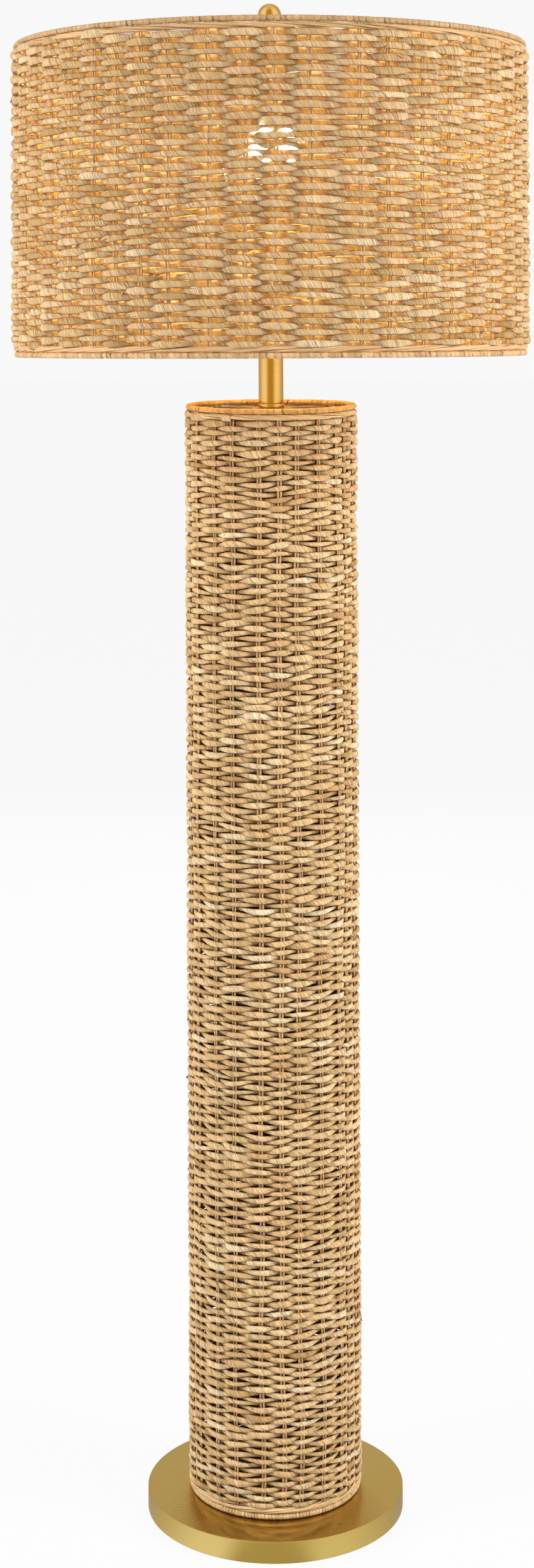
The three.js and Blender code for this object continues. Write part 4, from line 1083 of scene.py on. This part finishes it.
def stand_stakes(name, rng, stakes, bottom, top):
    """Each stake is a pair of thin canes side by side, which bend a little as they rise: the middle is at
    (r cos a, r sin a, z), with r = stake radius + swell and a = stake angle + offset and wobble over r."""
    steps = max(8, round((top - bottom) / STAKE_STEP))
    z = np.linspace(bottom, top, steps + 1)
    t = np.arange(CANE_SIDES) * TURN / CANE_SIDES
    points, quads, caps, fibres, looks = [], [], [], [], []
    start = 0
    for number in range(stakes.count):
        for side in (-1, 1):
            wobble = waves(rng, 4, 1, 5)
            angle = stakes.angle(np.full(len(z), number), z)
            angle = angle + (side * STAKE_CANE_OFFSET + STAKE_WOBBLE * wobble(0.0, z * 40)) / stakes.radius
            out = outward(angle)
            centre = out * (stakes.radius + stakes.swell(angle, z))[:, None] + upward(angle) * z[:, None]
            half = np.full(len(z), STAKE_CANE_RADIUS * rng.uniform(0.88, 1.08))
            grid, faces = loops_of(centre, sideways(angle), out, half, half, CANE_SIDES, False)
            points.append(grid.reshape(-1, 3))
            quads.append(faces[0] + start)
            caps.append(faces[1] + start)
            tone = rng.uniform(0.2, 0.95)
            # Every stake cane counts as inside the wall, so in the shade it takes the painted glow
            fibre, look = cane_attributes(z, t, rng.uniform(0, 500), tone, 0.0, 1.0)
            fibres.append(fibre)
            looks.append(look)
            start += len(z) * CANE_SIDES
    points = stakes.settle(np.concatenate(points))
    return piece_from(name, points, [np.concatenate(quads), np.concatenate(caps)],
                      strand_attributes(np.concatenate(fibres), np.concatenate(looks)))


def wound_hoop(name, rng, stakes, height, thickness, wrap_width, tones):
    """A hoop wound with flat cane: a ring whose round section, half = thickness / 2 * (0.9 + 0.1 crown),
    swells over each slanted turn and dips between. Its turns have tones from tones[0] to tones[1]."""
    wraps = round(TURN * stakes.radius / wrap_width)
    sections = wraps * HOOP_STEPS
    angle = np.arange(sections) * TURN / sections
    t = np.arange(HOOP_SIDES) * TURN / HOOP_SIDES
    slant = 0.13 * np.sin(t)[None, :] + 0.08 * np.cos(t)[None, :]
    phase = (np.arange(sections) / HOOP_STEPS)[:, None] + slant
    shift = rng.uniform(-0.26, 0.26, wraps + 1)
    shift[-1] = shift[0]
    number = np.floor(phase).astype(int) % wraps
    share = phase - np.floor(phase)
    share = np.clip((share - shift[number]) / (1 + shift[number + 1] - shift[number]), 0, 1)
    crown = np.sin(np.pi * share) ** 0.35
    rise = rng.uniform(0.94, 1.0, wraps)[number]
    half = thickness / 2 * (0.90 + 0.10 * crown) * rise
    r = stakes.radius + half * np.cos(t)[None, :]
    z = height + half * np.sin(t)[None, :]
    points = np.stack([r * np.cos(angle)[:, None], r * np.sin(angle)[:, None], z], -1)
    tone = rng.uniform(*tones, wraps)[number]
    nick = rng.choice([0.25, 0.6, 1.0], wraps, p=[0.5, 0.3, 0.2])[number]
    seam = np.clip(1 - crown * 1.35, 0, 1) * nick
    girth = t[None, :] * thickness / 2 / MM + number * HOOP_OFFSET
    fibre = spread_over(share.shape, girth, share * 1.6, 0.4)
    look = spread_over(share.shape, tone, seam, 0.0, 0.0)
    return piece_from(name, stakes.settle(points), [grid_quads(sections, HOOP_SIDES, True, True)],
                      strand_attributes(fibre, look))


def twined_band(name, rng, stakes, bottom, top, turns, falling):
    """Thin canes twined round the stakes in a flat helix: z = middle + rise cos(phase), r = stake radius +
    sway sin(phase). Seen from outside they fall to the right, or rise where falling is False."""
    middle = (bottom + top) / 2
    rise = (top - bottom) / 2 - BAND_CANE_RADIUS + BAND_OVERLAP
    rise = rise if falling else -rise
    sections = turns * BAND_STEPS
    angle = np.arange(sections) * TURN / sections
    t = np.arange(BAND_CANE_SIDES) * TURN / BAND_CANE_SIDES
    points, faces, fibres, looks = [], [], [], []
    for cane in range(BAND_CANES):
        phase = angle * turns + cane * TURN / BAND_CANES + 0.3 * waves(rng, 4, 2, 7)(angle, 0.0)
        uneven = np.clip(1 + 0.14 * waves(rng, 4, 3, 9)(angle, 0.0), 0.75, 1.0)
        out = outward(angle)
        up = upward(angle)
        centre = out * (stakes.radius + BAND_SWAY * np.sin(phase))[:, None]
        centre = centre + up * (middle + rise * np.cos(phase) * uneven)[:, None]
        half = BAND_CANE_RADIUS * (1 + 0.10 * waves(rng, 4, 3, 12)(angle, 0.0)) * rng.uniform(0.9, 1.08)
        grid, parts = loops_of(centre, out, up, half, half, BAND_CANE_SIDES, True)
        points.append(grid.reshape(-1, 3))
        faces.append(parts[0] + cane * sections * BAND_CANE_SIDES)
        # Painted shade where the cane passes behind, carried in the seam channel
        seam = np.clip(0.45 - 0.75 * np.sin(phase), 0, 0.6)
        # Where the cane lies inside, the shade's band takes the painted glow
        inside = np.clip(-1.3 * np.sin(phase), 0, 1)
        fibre, look = cane_attributes(angle * stakes.radius, t, cane * BAND_CANE_OFFSET,
                                      rng.uniform(0.35, 1.0), seam, inside)
        fibres.append(fibre)
        looks.append(look)
    return piece_from(name, stakes.settle(np.concatenate(points)), [np.concatenate(faces)],
                      strand_attributes(np.concatenate(fibres), np.concatenate(looks)))


def woven_tube(part, body, stakes, strand, pieces, leaf, cane, band_turns, wraps, rng):
    """A woven tube in the place of its CAD rings: weave, loose ends, stakes, and at each end a band and a
    wound hoop. The wraps give the cane's width on the lower and upper hoop."""
    weave = part + "_weave"
    trim = TRIM_CANE if part == "column" else SHADE_TRIM_CANE
    for made in strand.pieces(weave, pieces):
        with_spill(made, strand.bulb_openings)
        dress(made, body, leaf, "woven_leaf", weave)
    for ends, shape in (("_slivers", SLIVERS), ("_cut_ends", CUT_ENDS)):
        dress(strand.loose_pieces(part + ends, rng, **shape), body, leaf, "woven_leaf", weave)
    low_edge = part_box(part + "_bottom_rim")[0].z
    high_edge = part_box(part + "_top_rim")[1].z
    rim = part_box(part + "_bottom_rim")[1].z - low_edge
    uprights = stand_stakes(part + "_stakes", rng, stakes, low_edge + rim / 2, high_edge - rim / 2)
    with_spill(uprights, strand.bulb_openings)
    dress(uprights, body, cane, "wrapped_cane", weave)
    for end, wrap in zip(("bottom", "top"), wraps):
        low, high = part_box(f"{part}_{end}_band")
        band = twined_band(f"{part}_{end}_twining", rng, stakes, low.z, high.z, band_turns, end == "top")
        dress(band, body, trim, "wrapped_cane", f"{part}_{end}_band")
        low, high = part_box(f"{part}_{end}_rim")
        # Painted shade: the shade's top hoop takes the darker tones
        tones = TOP_HOOP_PAINTED_SHADE_TURNS if (part, end) == ("shade", "top") else MIXED_TURNS
        height = (low.z + high.z) / 2
        hoop = wound_hoop(f"{part}_{end}_hoop", rng, stakes, height, high.z - low.z, wrap, tones)
        # Painted lamplight: the column's top hoop takes the orange copy of the trim cane
        lit_from_above = part == "column" and end == "top"
        dress(hoop, body, MOUTH_CANE_PAINTED_LAMPLIGHT if lit_from_above else trim, "wrapped_cane", f"{part}_{end}_rim")


def build_column():
    """The column's wall, which stands on the base and leans a little at its top."""
    stake_rng, strand_rng, trim_rng = [np.random.default_rng(seed) for seed in COLUMN_SEEDS]
    stakes = Stakes(stake_rng, COLUMN_FRONT_STAKES, COLUMN_BACK_STAKES, COLUMN_STAKE_RADIUS,
                    COLUMN_STAKE_DRIFT, COLUMN_TOP_LEAN, COLUMN_LEAN_START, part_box("column_top_rim")[1].z)
    low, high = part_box("column_weave")
    strand = Strand(strand_rng, stakes, low.z, high.z, COLUMN_ROWS, COLUMN_PITCH_SPREAD,
                    COLUMN_SWAY, COLUMN_STRAND_THICKNESS, COLUMN_INSIDE_SHARE, high.x - WALL_SKIN)
    woven_tube("column", "stand", stakes, strand, 4, COLUMN_LEAF, STAKE_CANE, COLUMN_BAND_TURNS,
               (COLUMN_BOTTOM_WRAP, COLUMN_TOP_WRAP), trim_rng)


def build_shade():
    """The shade's wall, which turns with the swivel stud."""
    stake_rng, strand_rng, trim_rng = [np.random.default_rng(seed) for seed in SHADE_SEEDS]
    stakes = Stakes(stake_rng, SHADE_FRONT_STAKES, SHADE_BACK_STAKES, SHADE_STAKE_RADIUS, SHADE_STAKE_DRIFT)
    low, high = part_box("shade_weave")
    strand = Strand(strand_rng, stakes, low.z, high.z, SHADE_ROWS, 0.0, SHADE_SWAY,
                    SHADE_STRAND_THICKNESS, SHADE_INSIDE_SHARE, high.x - WALL_SKIN,
                    SHADE_OPENINGS, SHADE_CLOSE_FROM, SHADE_CLOSE_AT)
    woven_tube("shade", "shade", stakes, strand, 2, SHADE_LEAF, LIT_STAKE_CANE, SHADE_BAND_TURNS,
               (SHADE_WRAP, SHADE_WRAP), trim_rng)


build_column()
build_shade()


# Turned metal, plastic and glass

def across_brushing(points):
    """Brushing lines: straight along X on the flat top, round the skirt on the side. The lines are long in
    the first two numbers of the vector and fine in the third or second."""
    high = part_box("base_cover")[1]
    level_slack = 0.05 * MM
    edge_width = 0.5 * MM
    radius = np.hypot(points[:, 0], points[:, 1])
    on_top = (points[:, 2] > high.z - level_slack) & (radius < high.x - edge_width)
    fine = 1300.0
    long = 18.0
    return np.stack([points[:, 0] * long, points[:, 1] * np.where(on_top, fine, long),
                     np.where(on_top, 0.0, points[:, 2] * fine)], -1)


def base_cover():
    """The pressed cover: a flat disc with a rounded edge and a skirt down to the floor."""
    low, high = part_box("base_cover")
    radius = high.x
    wall = 1.2 * MM
    edge = 0.9 * MM
    outline = np.concatenate([
        [[PIPE_BORE, high.z]],
        np.stack([np.linspace(PIPE_BORE, radius - edge, 12)[1:], np.full(11, high.z)], -1),
        arc((radius - edge, high.z - edge), edge, 75, 15, 5),
        [[radius, high.z - edge]],
        [[radius, low.z + edge]],
        arc((radius - edge / 2, low.z + edge / 2), edge / 2, 0, -90, 4),
        [[radius - wall, low.z], [radius - wall, high.z - wall], [PIPE_BORE, high.z - wall]],
    ])
    return turned("base_cover_brass", outline, 256, close=True, brush=across_brushing)


def pole():
    """The pole: a thin tube with rounded ends."""
    low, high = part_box("pole_tube")
    radius = high.x
    wall = 1.2 * MM
    edge = 0.3 * MM
    outline = np.concatenate([
        [[radius - wall, high.z], [radius - edge, high.z]],
        arc((radius - edge, high.z - edge), edge, 80, 0, 4),
        arc((radius - edge, low.z + edge), edge, 0, -90, 4),
        [[radius - wall, low.z]],
    ])
    return turned("pole_tube_brass", outline, 96, close=True)


def pole_foot():
    """The ring at the pole's foot: a rounded flange with a spigot that stands up inside the pole."""
    low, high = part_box("pole_seat_ring")
    flange = high.x
    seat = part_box("pole_tube")[0].z - SEAM
    edge = 0.8 * MM
    bevel = 0.3 * MM
    outline = np.concatenate([
        [[PIPE_BORE, low.z], [flange - bevel, low.z], [flange, low.z + bevel]],
        arc((flange - edge, seat - edge), edge, 0, 90, 7),
        [[POLE_SPIGOT, seat], [POLE_SPIGOT, high.z], [PIPE_ROOM, high.z], [PIPE_ROOM, seat],
         [PIPE_BORE, seat]],
    ])
    return turned("pole_foot_ring", outline, 96, close=True)


def pole_head():
    """The pole's cap: a rounded disc with a spigot that hangs down inside the pole."""
    low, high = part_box("pole_cap")
    radius = high.x
    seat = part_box("pole_tube")[1].z + SEAM
    edge = 0.6 * MM
    bevel = 0.2 * MM
    outline = np.concatenate([
        [[PIPE_BORE, seat], [PIPE_ROOM, seat], [PIPE_ROOM, low.z], [POLE_SPIGOT, low.z],
         [POLE_SPIGOT, seat], [radius - bevel, seat], [radius, seat + bevel]],
        arc((radius - edge, high.z - edge), edge, 0, 90, 6),
        [[PIPE_BORE, high.z]],
    ])
    return turned("pole_head_cap", outline, 96, close=True)


def finial():
    """The finial: a ball on a hollowed neck over a small round foot, bored for its stud from below."""
    low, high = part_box("finial")
    ball = 12 * MM
    bore = 3.4 * MM
    bore_end = low.z + 13.3 * MM
    foot = 7 * MM
    foot_top = low.z + 2 * MM
    edge = 0.5 * MM
    neck = 4.5 * MM
    hollow = 1.5 * MM
    outline = np.concatenate([
        [[0.0, bore_end], [bore, bore_end], [bore, low.z], [foot - edge, low.z]],
        arc((foot - edge, low.z + edge), edge, -60, 0, 4),
        arc((foot - edge, foot_top - edge), edge, 0, 90, 5),
        arc((neck + hollow, foot_top + hollow), hollow, 270, 180, 6),
        arc((0, high.z - ball), ball, -67, 88, 36),
        [[0.0, high.z]],
    ])
    return turned("finial_ball", outline, 72)


def switch_knob():
    """The switch's knob: a ribbed barrel with a rounded front, a shallow dish in it, and a bored back."""
    low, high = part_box("switch_knob")
    middle = ((low.x + high.x) / 2, 0.0, (low.z + high.z) / 2)
    radius = (high.x - low.x) / 2
    bore = 1.8 * MM
    bore_end = high.y - 8 * MM
    edge = 1.0 * MM
    rounding = 1.6 * MM
    rib_end = 3 * MM
    dish = 2.4 * MM
    dish_floor = 2.0 * MM
    dish_depth = 0.5 * MM
    outline = np.concatenate([
        [[0.0, bore_end], [bore, bore_end], [bore, high.y], [radius - edge, high.y]],
        [[radius, high.y - edge], [radius, high.y - rib_end], [radius, low.y + rib_end]],
        arc((radius - rounding, low.y + rounding), rounding, 0, -90, 7),
        [[dish, low.y], [dish_floor, low.y + dish_depth], [0.0, low.y + dish_depth]],
    ])
    return turned("switch_knob_ribbed", outline, 108, centre=middle, along_y=True, flutes=18,
                  flute_depth=0.45 * MM)


def cord_grommet():
    """The cord's bushing in the skirt: a barrel with a rounded flange outside."""
    low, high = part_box("cord_bushing")
    middle = (0.0, 0.0, (low.z + high.z) / 2)
    flange = (high.x - low.x) / 2
    bore = 3 * MM
    barrel = 4.2 * MM
    face = high.y - 1.6 * MM
    edge = 0.6 * MM
    bevel = 0.2 * MM
    outline = np.concatenate([
        [[bore, low.y], [barrel, low.y], [barrel, face], [flange - bevel, face]],
        arc((flange - edge, high.y - edge), edge, 0, 90, 6),
        arc((bore + edge, high.y - edge), edge, 90, 180, 6),
    ])
    return turned("cord_outlet_bushing", outline, 64, close=True, centre=middle, along_y=True)


def bulb_glass():
    """The bulb's glass: a ball that eases into a neck, radius = r0 + (r1 - r0) * (3 s^2 - 2 s^3), with an
    inner wall."""
    low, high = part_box("bulb_glass")
    ball = 30 * MM
    wall = 1 * MM
    centre = high.z - ball
    shoulder = math.radians(-20)
    neck = 12.2 * MM
    neck_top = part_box("bulb_cap")[1].z
    share = np.linspace(0, 1, 14)[1:]
    ease = share * share * (3 - 2 * share)
    start = (ball * math.cos(shoulder), centre + ball * math.sin(shoulder))
    taper = np.stack([start[0] + (neck - start[0]) * ease, start[1] + (neck_top - start[1]) * share], -1)
    outer = np.concatenate([[[0.0, high.z]], arc((0, centre), ball, 86, -20, 27), taper, [[neck, low.z]]])
    inner = np.concatenate([[[neck - wall, low.z]], (taper - [wall, 0])[::-1],
                            arc((0, centre), ball - wall, -20, 86, 27), [[0.0, high.z - wall]]])
    return turned("bulb_glass_ball", np.concatenate([outer, inner]), 72)


def bulb_cap():
    """The bulb's screw cap: a contact below, and rounded rings that stand for its thread, where
    radius = r - depth * (1 + cos(z / pitch)) / 2 with z / pitch in turns."""
    low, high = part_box("bulb_cap")
    radius = high.x
    depth = 0.7 * MM
    pitch = 3.6 * MM
    wall = 0.6 * MM
    start = low.z + 4 * MM
    z = np.linspace(start, start + 4.5 * pitch, 55)
    wave = 0.5 - 0.5 * np.cos((z - start) / pitch * TURN)
    thread = np.stack([radius - depth + depth * wave, z], -1)
    glass_room = 12.5 * MM
    inner = radius - depth - wall
    seat = high.z - 5.3 * MM
    contact = np.array([[0.0, 0.0], [3.6, 0.0], [4.5, 0.6], [5.4, 1.2]]) * MM + [0.0, low.z]
    outline = np.concatenate([
        contact,
        thread,
        [[radius, high.z], [glass_room, high.z], [glass_room, seat], [inner, seat],
         [inner, start + wall], [0.0, start]],
    ])
    return turned("bulb_screw_cap", outline, 72)


def harp_sleeve(side):
    """A sleeve that holds one leg of the harp: a short tube with three shallow grooves for the fingers."""
    low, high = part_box("harp_sleeve_" + side)
    middle = ((low.x + high.x) / 2, 0.0, 0.0)
    radius = (high.x - low.x) / 2
    wall = 0.9 * MM
    edge = 0.25 * MM
    groove = 0.2 * MM
    pitch = 0.8 * MM
    start = low.z + 2.0 * MM
    z = np.linspace(start, start + 3 * pitch, 13)
    beads = np.stack([radius - groove * (0.5 - 0.5 * np.cos((z - start) / pitch * TURN)), z], -1)
    outline = np.concatenate([
        [[radius - wall, low.z], [radius - edge, low.z], [radius, low.z + edge]],
        beads,
        [[radius, high.z - edge], [radius - edge, high.z], [radius - wall, high.z]],
    ])
    return turned(f"harp_sleeve_{side}_brass", outline, 64, close=True, centre=middle)


def swivel_stud():
    """The swivel stud: a head under the harp's eye, a shank in it, a flange that carries the shade's washer,
    and a threaded end for the finial."""
    low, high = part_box("harp_stud")
    head = 3.5 * MM
    bevel = 0.4 * MM
    shank = 2.0 * MM
    flange = 5.5 * MM
    thread = 3.1 * MM
    depth = 0.35 * MM
    tip = 1.0 * MM
    tip_taper = 0.7 * MM
    head_top = low.z + 1.5 * MM
    flange_bottom = head_top + 4.6 * MM
    flange_top = flange_bottom + 2.0 * MM
    pitch = 0.9 * MM
    turns = int((high.z - flange_top - tip) / pitch)
    z = np.linspace(flange_top, flange_top + turns * pitch, turns * 6 + 1)
    ridges = np.stack([thread - depth * (0.5 - 0.5 * np.cos((z - flange_top) / pitch * TURN)), z], -1)
    outline = np.concatenate([
        [[0.0, low.z], [head - bevel, low.z], [head, low.z + bevel], [head, head_top], [shank, head_top],
         [shank, flange_bottom], [flange, flange_bottom], [flange, flange_top]],
        ridges,
        [[thread - tip_taper, high.z], [0.0, high.z]],
    ])
    return turned("swivel_stud_threaded", outline, 60)


dress(base_cover(), "stand", BASE_BRASS, "brushed_brass", "base_cover")
dress(pole(), "stand", POLE_BRASS, "brushed_brass", "pole_tube")
dress(pole_foot(), "stand", POLE_BRASS, "brushed_brass", "pole_seat_ring")
dress(pole_head(), "stand", POLE_BRASS, "brushed_brass", "pole_cap")
dress(finial(), "finial", POLE_BRASS, "brushed_brass", "finial")
dress(switch_knob(), "switch_key", PLASTIC, "dark_plastic", "switch_knob")
dress(cord_grommet(), "stand", PLASTIC, "dark_plastic", "cord_bushing")
lit_bulb = dress(bulb_glass(), "bulb", BULB_GLASS, "frosted_glass", "bulb_glass")
dress(bulb_cap(), "bulb", CAP_METAL, "cap_metal", "bulb_cap")
dress(harp_sleeve("left"), "sleeve_left", SOCKET_BRASS, "socket_brass", "harp_sleeve_left")
dress(harp_sleeve("right"), "sleeve_right", SOCKET_BRASS, "socket_brass", "harp_sleeve_right")
dress(swivel_stud(), "shade", SOCKET_BRASS, "socket_brass", "harp_stud")


def smooth_copy(node, body, material, slot):
    """A copy of a CAD node with its loose triangles merged and its round faces shaded smooth."""
    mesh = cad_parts[node].data.copy()
    form = bmesh.new()
    form.from_mesh(mesh)
    bmesh.ops.remove_doubles(form, verts=form.verts, dist=MERGE_DISTANCE)
    for face in form.faces:
        face.smooth = True
    form.to_mesh(mesh)
    form.free()
    mesh.set_sharp_from_angle(angle=math.radians(COPY_SHARP_ANGLE))
    mesh.materials.clear()
    thing = bpy.data.objects.new(node + "_finish", mesh)
    bpy.context.scene.collection.objects.link(thing)
    return dress(thing, body, material, slot, node)


for node, body, material, slot in (
    ("harp", "stand", STEEL, "zinc_steel"),
    ("harp_saddle", "stand", STEEL, "zinc_steel"),
    ("lamp_pipe", "stand", STEEL, "zinc_steel"),
    ("pipe_washer", "stand", STEEL, "zinc_steel"),
    ("column_top_crossplate", "stand", STEEL, "zinc_steel"),
    ("column_bottom_crossplate", "stand", STEEL, "zinc_steel"),
    ("column_frame_rod_1", "stand", STEEL, "zinc_steel"),
    ("column_frame_rod_2", "stand", STEEL, "zinc_steel"),
    ("column_frame_rod_3", "stand", STEEL, "zinc_steel"),
    ("column_frame_rod_4", "stand", STEEL, "zinc_steel"),
    ("socket_cap", "stand", SOCKET_BRASS, "socket_brass"),
    ("socket_shell", "stand", SOCKET_BRASS, "socket_brass"),
    ("socket_insulator", "stand", PAPER, "fibre_paper"),
    ("socket_screw_shell", "stand", SOCKET_BRASS, "socket_brass"),
    ("switch_housing", "stand", PLASTIC, "dark_plastic"),
    ("switch_shaft", "switch_key", STEEL, "zinc_steel"),
    ("shade_spider", "shade", STEEL, "zinc_steel"),
    ("base_weight", "stand", IRON, "cast_weight"),
    ("base_felt_pad", "stand", FELT, "felt_cloth"),
):
    smooth_copy(node, body, material, slot)

# Small hidden nodes that stay as they are
for node, material in {"pipe_locknut": STEEL, "centre_contact": SOCKET_BRASS}.items():
    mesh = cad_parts[node].data
    mesh.materials.clear()
    mesh.materials.append(material)


# Light, floor and camera

def build_world():
    """Soft even light, stronger from above. The camera and clear glass see the pale backdrop, and metal
    sees a studio with light walls at both sides and a dimmer front."""
    world = bpy.data.worlds.new("studio")
    bpy.context.scene.world = world
    world.use_nodes = True
    tree = world.node_tree
    background = tree.nodes["Background"]
    path = add_node(tree, "ShaderNodeLightPath")
    place = add_node(tree, "ShaderNodeTexCoord")
    way = add_node(tree, "ShaderNodeSeparateXYZ")
    tree.links.new(place.outputs["Generated"], way.inputs[0])
    even = spread(tree, way.outputs[2], -0.1, 1.0, WORLD_LOW, WORLD_HIGH)
    studio = use_group(tree, STUDIO, place.outputs["Generated"])
    seen = maths(tree, "MAXIMUM", path.outputs["Is Camera Ray"], path.outputs["Is Transmission Ray"])
    colour = colour_mix(tree, "MIX", path.outputs["Is Glossy Ray"], even, studio.outputs[0])
    colour = colour_mix(tree, "MIX", seen, colour, (BACKDROP, BACKDROP, BACKDROP))
    tree.links.new(colour, background.inputs["Color"])


def build_floor():
    """A pale floor that runs out to the horizon and keeps a soft shadow. Metal sees the studio's colour in
    it, by the direction in which it lies from the lamp."""
    corners = np.array([[-1, -1, 0], [1, -1, 0], [1, 1, 0], [-1, 1, 0]]) * FLOOR_REACH
    floor = piece_from("studio_floor", corners, [np.array([[0, 1, 2, 3]])])
    material = bpy.data.materials.new("pale_floor")
    material.use_nodes = True
    tree = material.node_tree
    tree.nodes.remove(tree.nodes["Principled BSDF"])
    output = tree.nodes["Material Output"]
    paint = add_node(tree, "ShaderNodeBsdfDiffuse", Color=(0.9, 0.9, 0.9, 1.0))
    path = add_node(tree, "ShaderNodeLightPath")
    place = add_node(tree, "ShaderNodeTexCoord")
    near = use_group(tree, FLOOR_SEEN, place.outputs["Object"])
    far = use_group(tree, STUDIO, place.outputs["Object"])
    away = add_node(tree, "ShaderNodeVectorMath", operation="LENGTH")
    tree.links.new(place.outputs["Object"], away.inputs[0])
    far_share = spread(tree, away.outputs["Value"], *NEAR_FLOOR, 0.0, 1.0)
    studio = colour_mix(tree, "MIX", far_share, near.outputs[0], far.outputs[0])
    plain = (FLOOR_GLOW, FLOOR_GLOW, FLOOR_GLOW)
    glow = add_node(tree, "ShaderNodeEmission", Strength=1.0)
    colour = colour_mix(tree, "MIX", path.outputs["Is Glossy Ray"], plain, studio)
    tree.links.new(colour, glow.inputs["Color"])
    seen = maths(tree, "MAXIMUM", path.outputs["Is Camera Ray"], path.outputs["Is Glossy Ray"])
    mix = add_node(tree, "ShaderNodeMixShader")
    tree.links.new(maths(tree, "MULTIPLY", seen, FLOOR_GLOW_SHARE), mix.inputs[0])
    tree.links.new(paint.outputs[0], mix.inputs[1])
    tree.links.new(glow.outputs[0], mix.inputs[2])
    tree.links.new(mix.outputs[0], output.inputs["Surface"])
    floor.data.materials.append(material)


def softbox(name, degrees, size, watts):
    """A lamp with a cloth front, at some degrees round from the front, aimed at the object. It lights the
    object and isn't seen in metal, where the studio's own levels stand for it."""
    light = bpy.data.lights.new(name, "AREA")
    light.shape = "RECTANGLE"
    light.size, light.size_y = size
    light.energy = watts
    thing = bpy.data.objects.new(name, light)
    turn = math.radians(degrees)
    place = np.array([SOFTBOX_DISTANCE * math.sin(turn), -SOFTBOX_DISTANCE * math.cos(turn), SOFTBOX_HEIGHT])
    thing.location = place
    thing.rotation_euler = Vector(np.subtract(SOFTBOX_AIM, place)).to_track_quat("-Z", "Y").to_euler()
    thing.visible_glossy = False
    bpy.context.scene.collection.objects.link(thing)


def build_bulb_light():
    """The bulb's own warm light, inside the glass, whose wall lets it through."""
    low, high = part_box("bulb_glass")
    light = bpy.data.lights.new("bulb_light", "POINT")
    light.energy = BULB_WATTS
    light.color = BULB_COLOUR
    light.shadow_soft_size = BULB_LIGHT_RADIUS
    thing = bpy.data.objects.new("bulb_light", light)
    ball = (high.x - low.x) / 2
    thing.location = (0, 0, high.z - ball)
    bpy.context.scene.collection.objects.link(thing)
    lit_bulb.visible_shadow = False


def build_camera():
    """Level camera; the frame is shifted down so that the horizon is at its pixel of the photograph."""
    camera = bpy.data.cameras.new("camera")
    camera.sensor_width = SENSOR
    camera.lens = FOCAL_PIXELS / PHOTO_HEIGHT * SENSOR
    camera.shift_y = -(PHOTO_HEIGHT / 2 - HORIZON_PIXEL) / PHOTO_HEIGHT
    camera.clip_end = 200
    thing = bpy.data.objects.new("camera", camera)
    thing.location = (-CAMERA_LEFT, -CAMERA_DISTANCE, CAMERA_HEIGHT)
    thing.rotation_euler = (math.pi / 2, CAMERA_ROLL, 0)
    bpy.context.scene.collection.objects.link(thing)
    bpy.context.scene.camera = thing


build_world()
build_floor()
softbox("left_softbox", -SIDE_TURN, SIDE_CLOTH, LEFT_WATTS)
softbox("right_softbox", SIDE_TURN, SIDE_CLOTH, RIGHT_WATTS)
softbox("back_softbox", 180, BACK_CLOTH, BACK_WATTS)
build_bulb_light()
build_camera()
bpy.context.scene.view_settings.view_transform = "Standard"
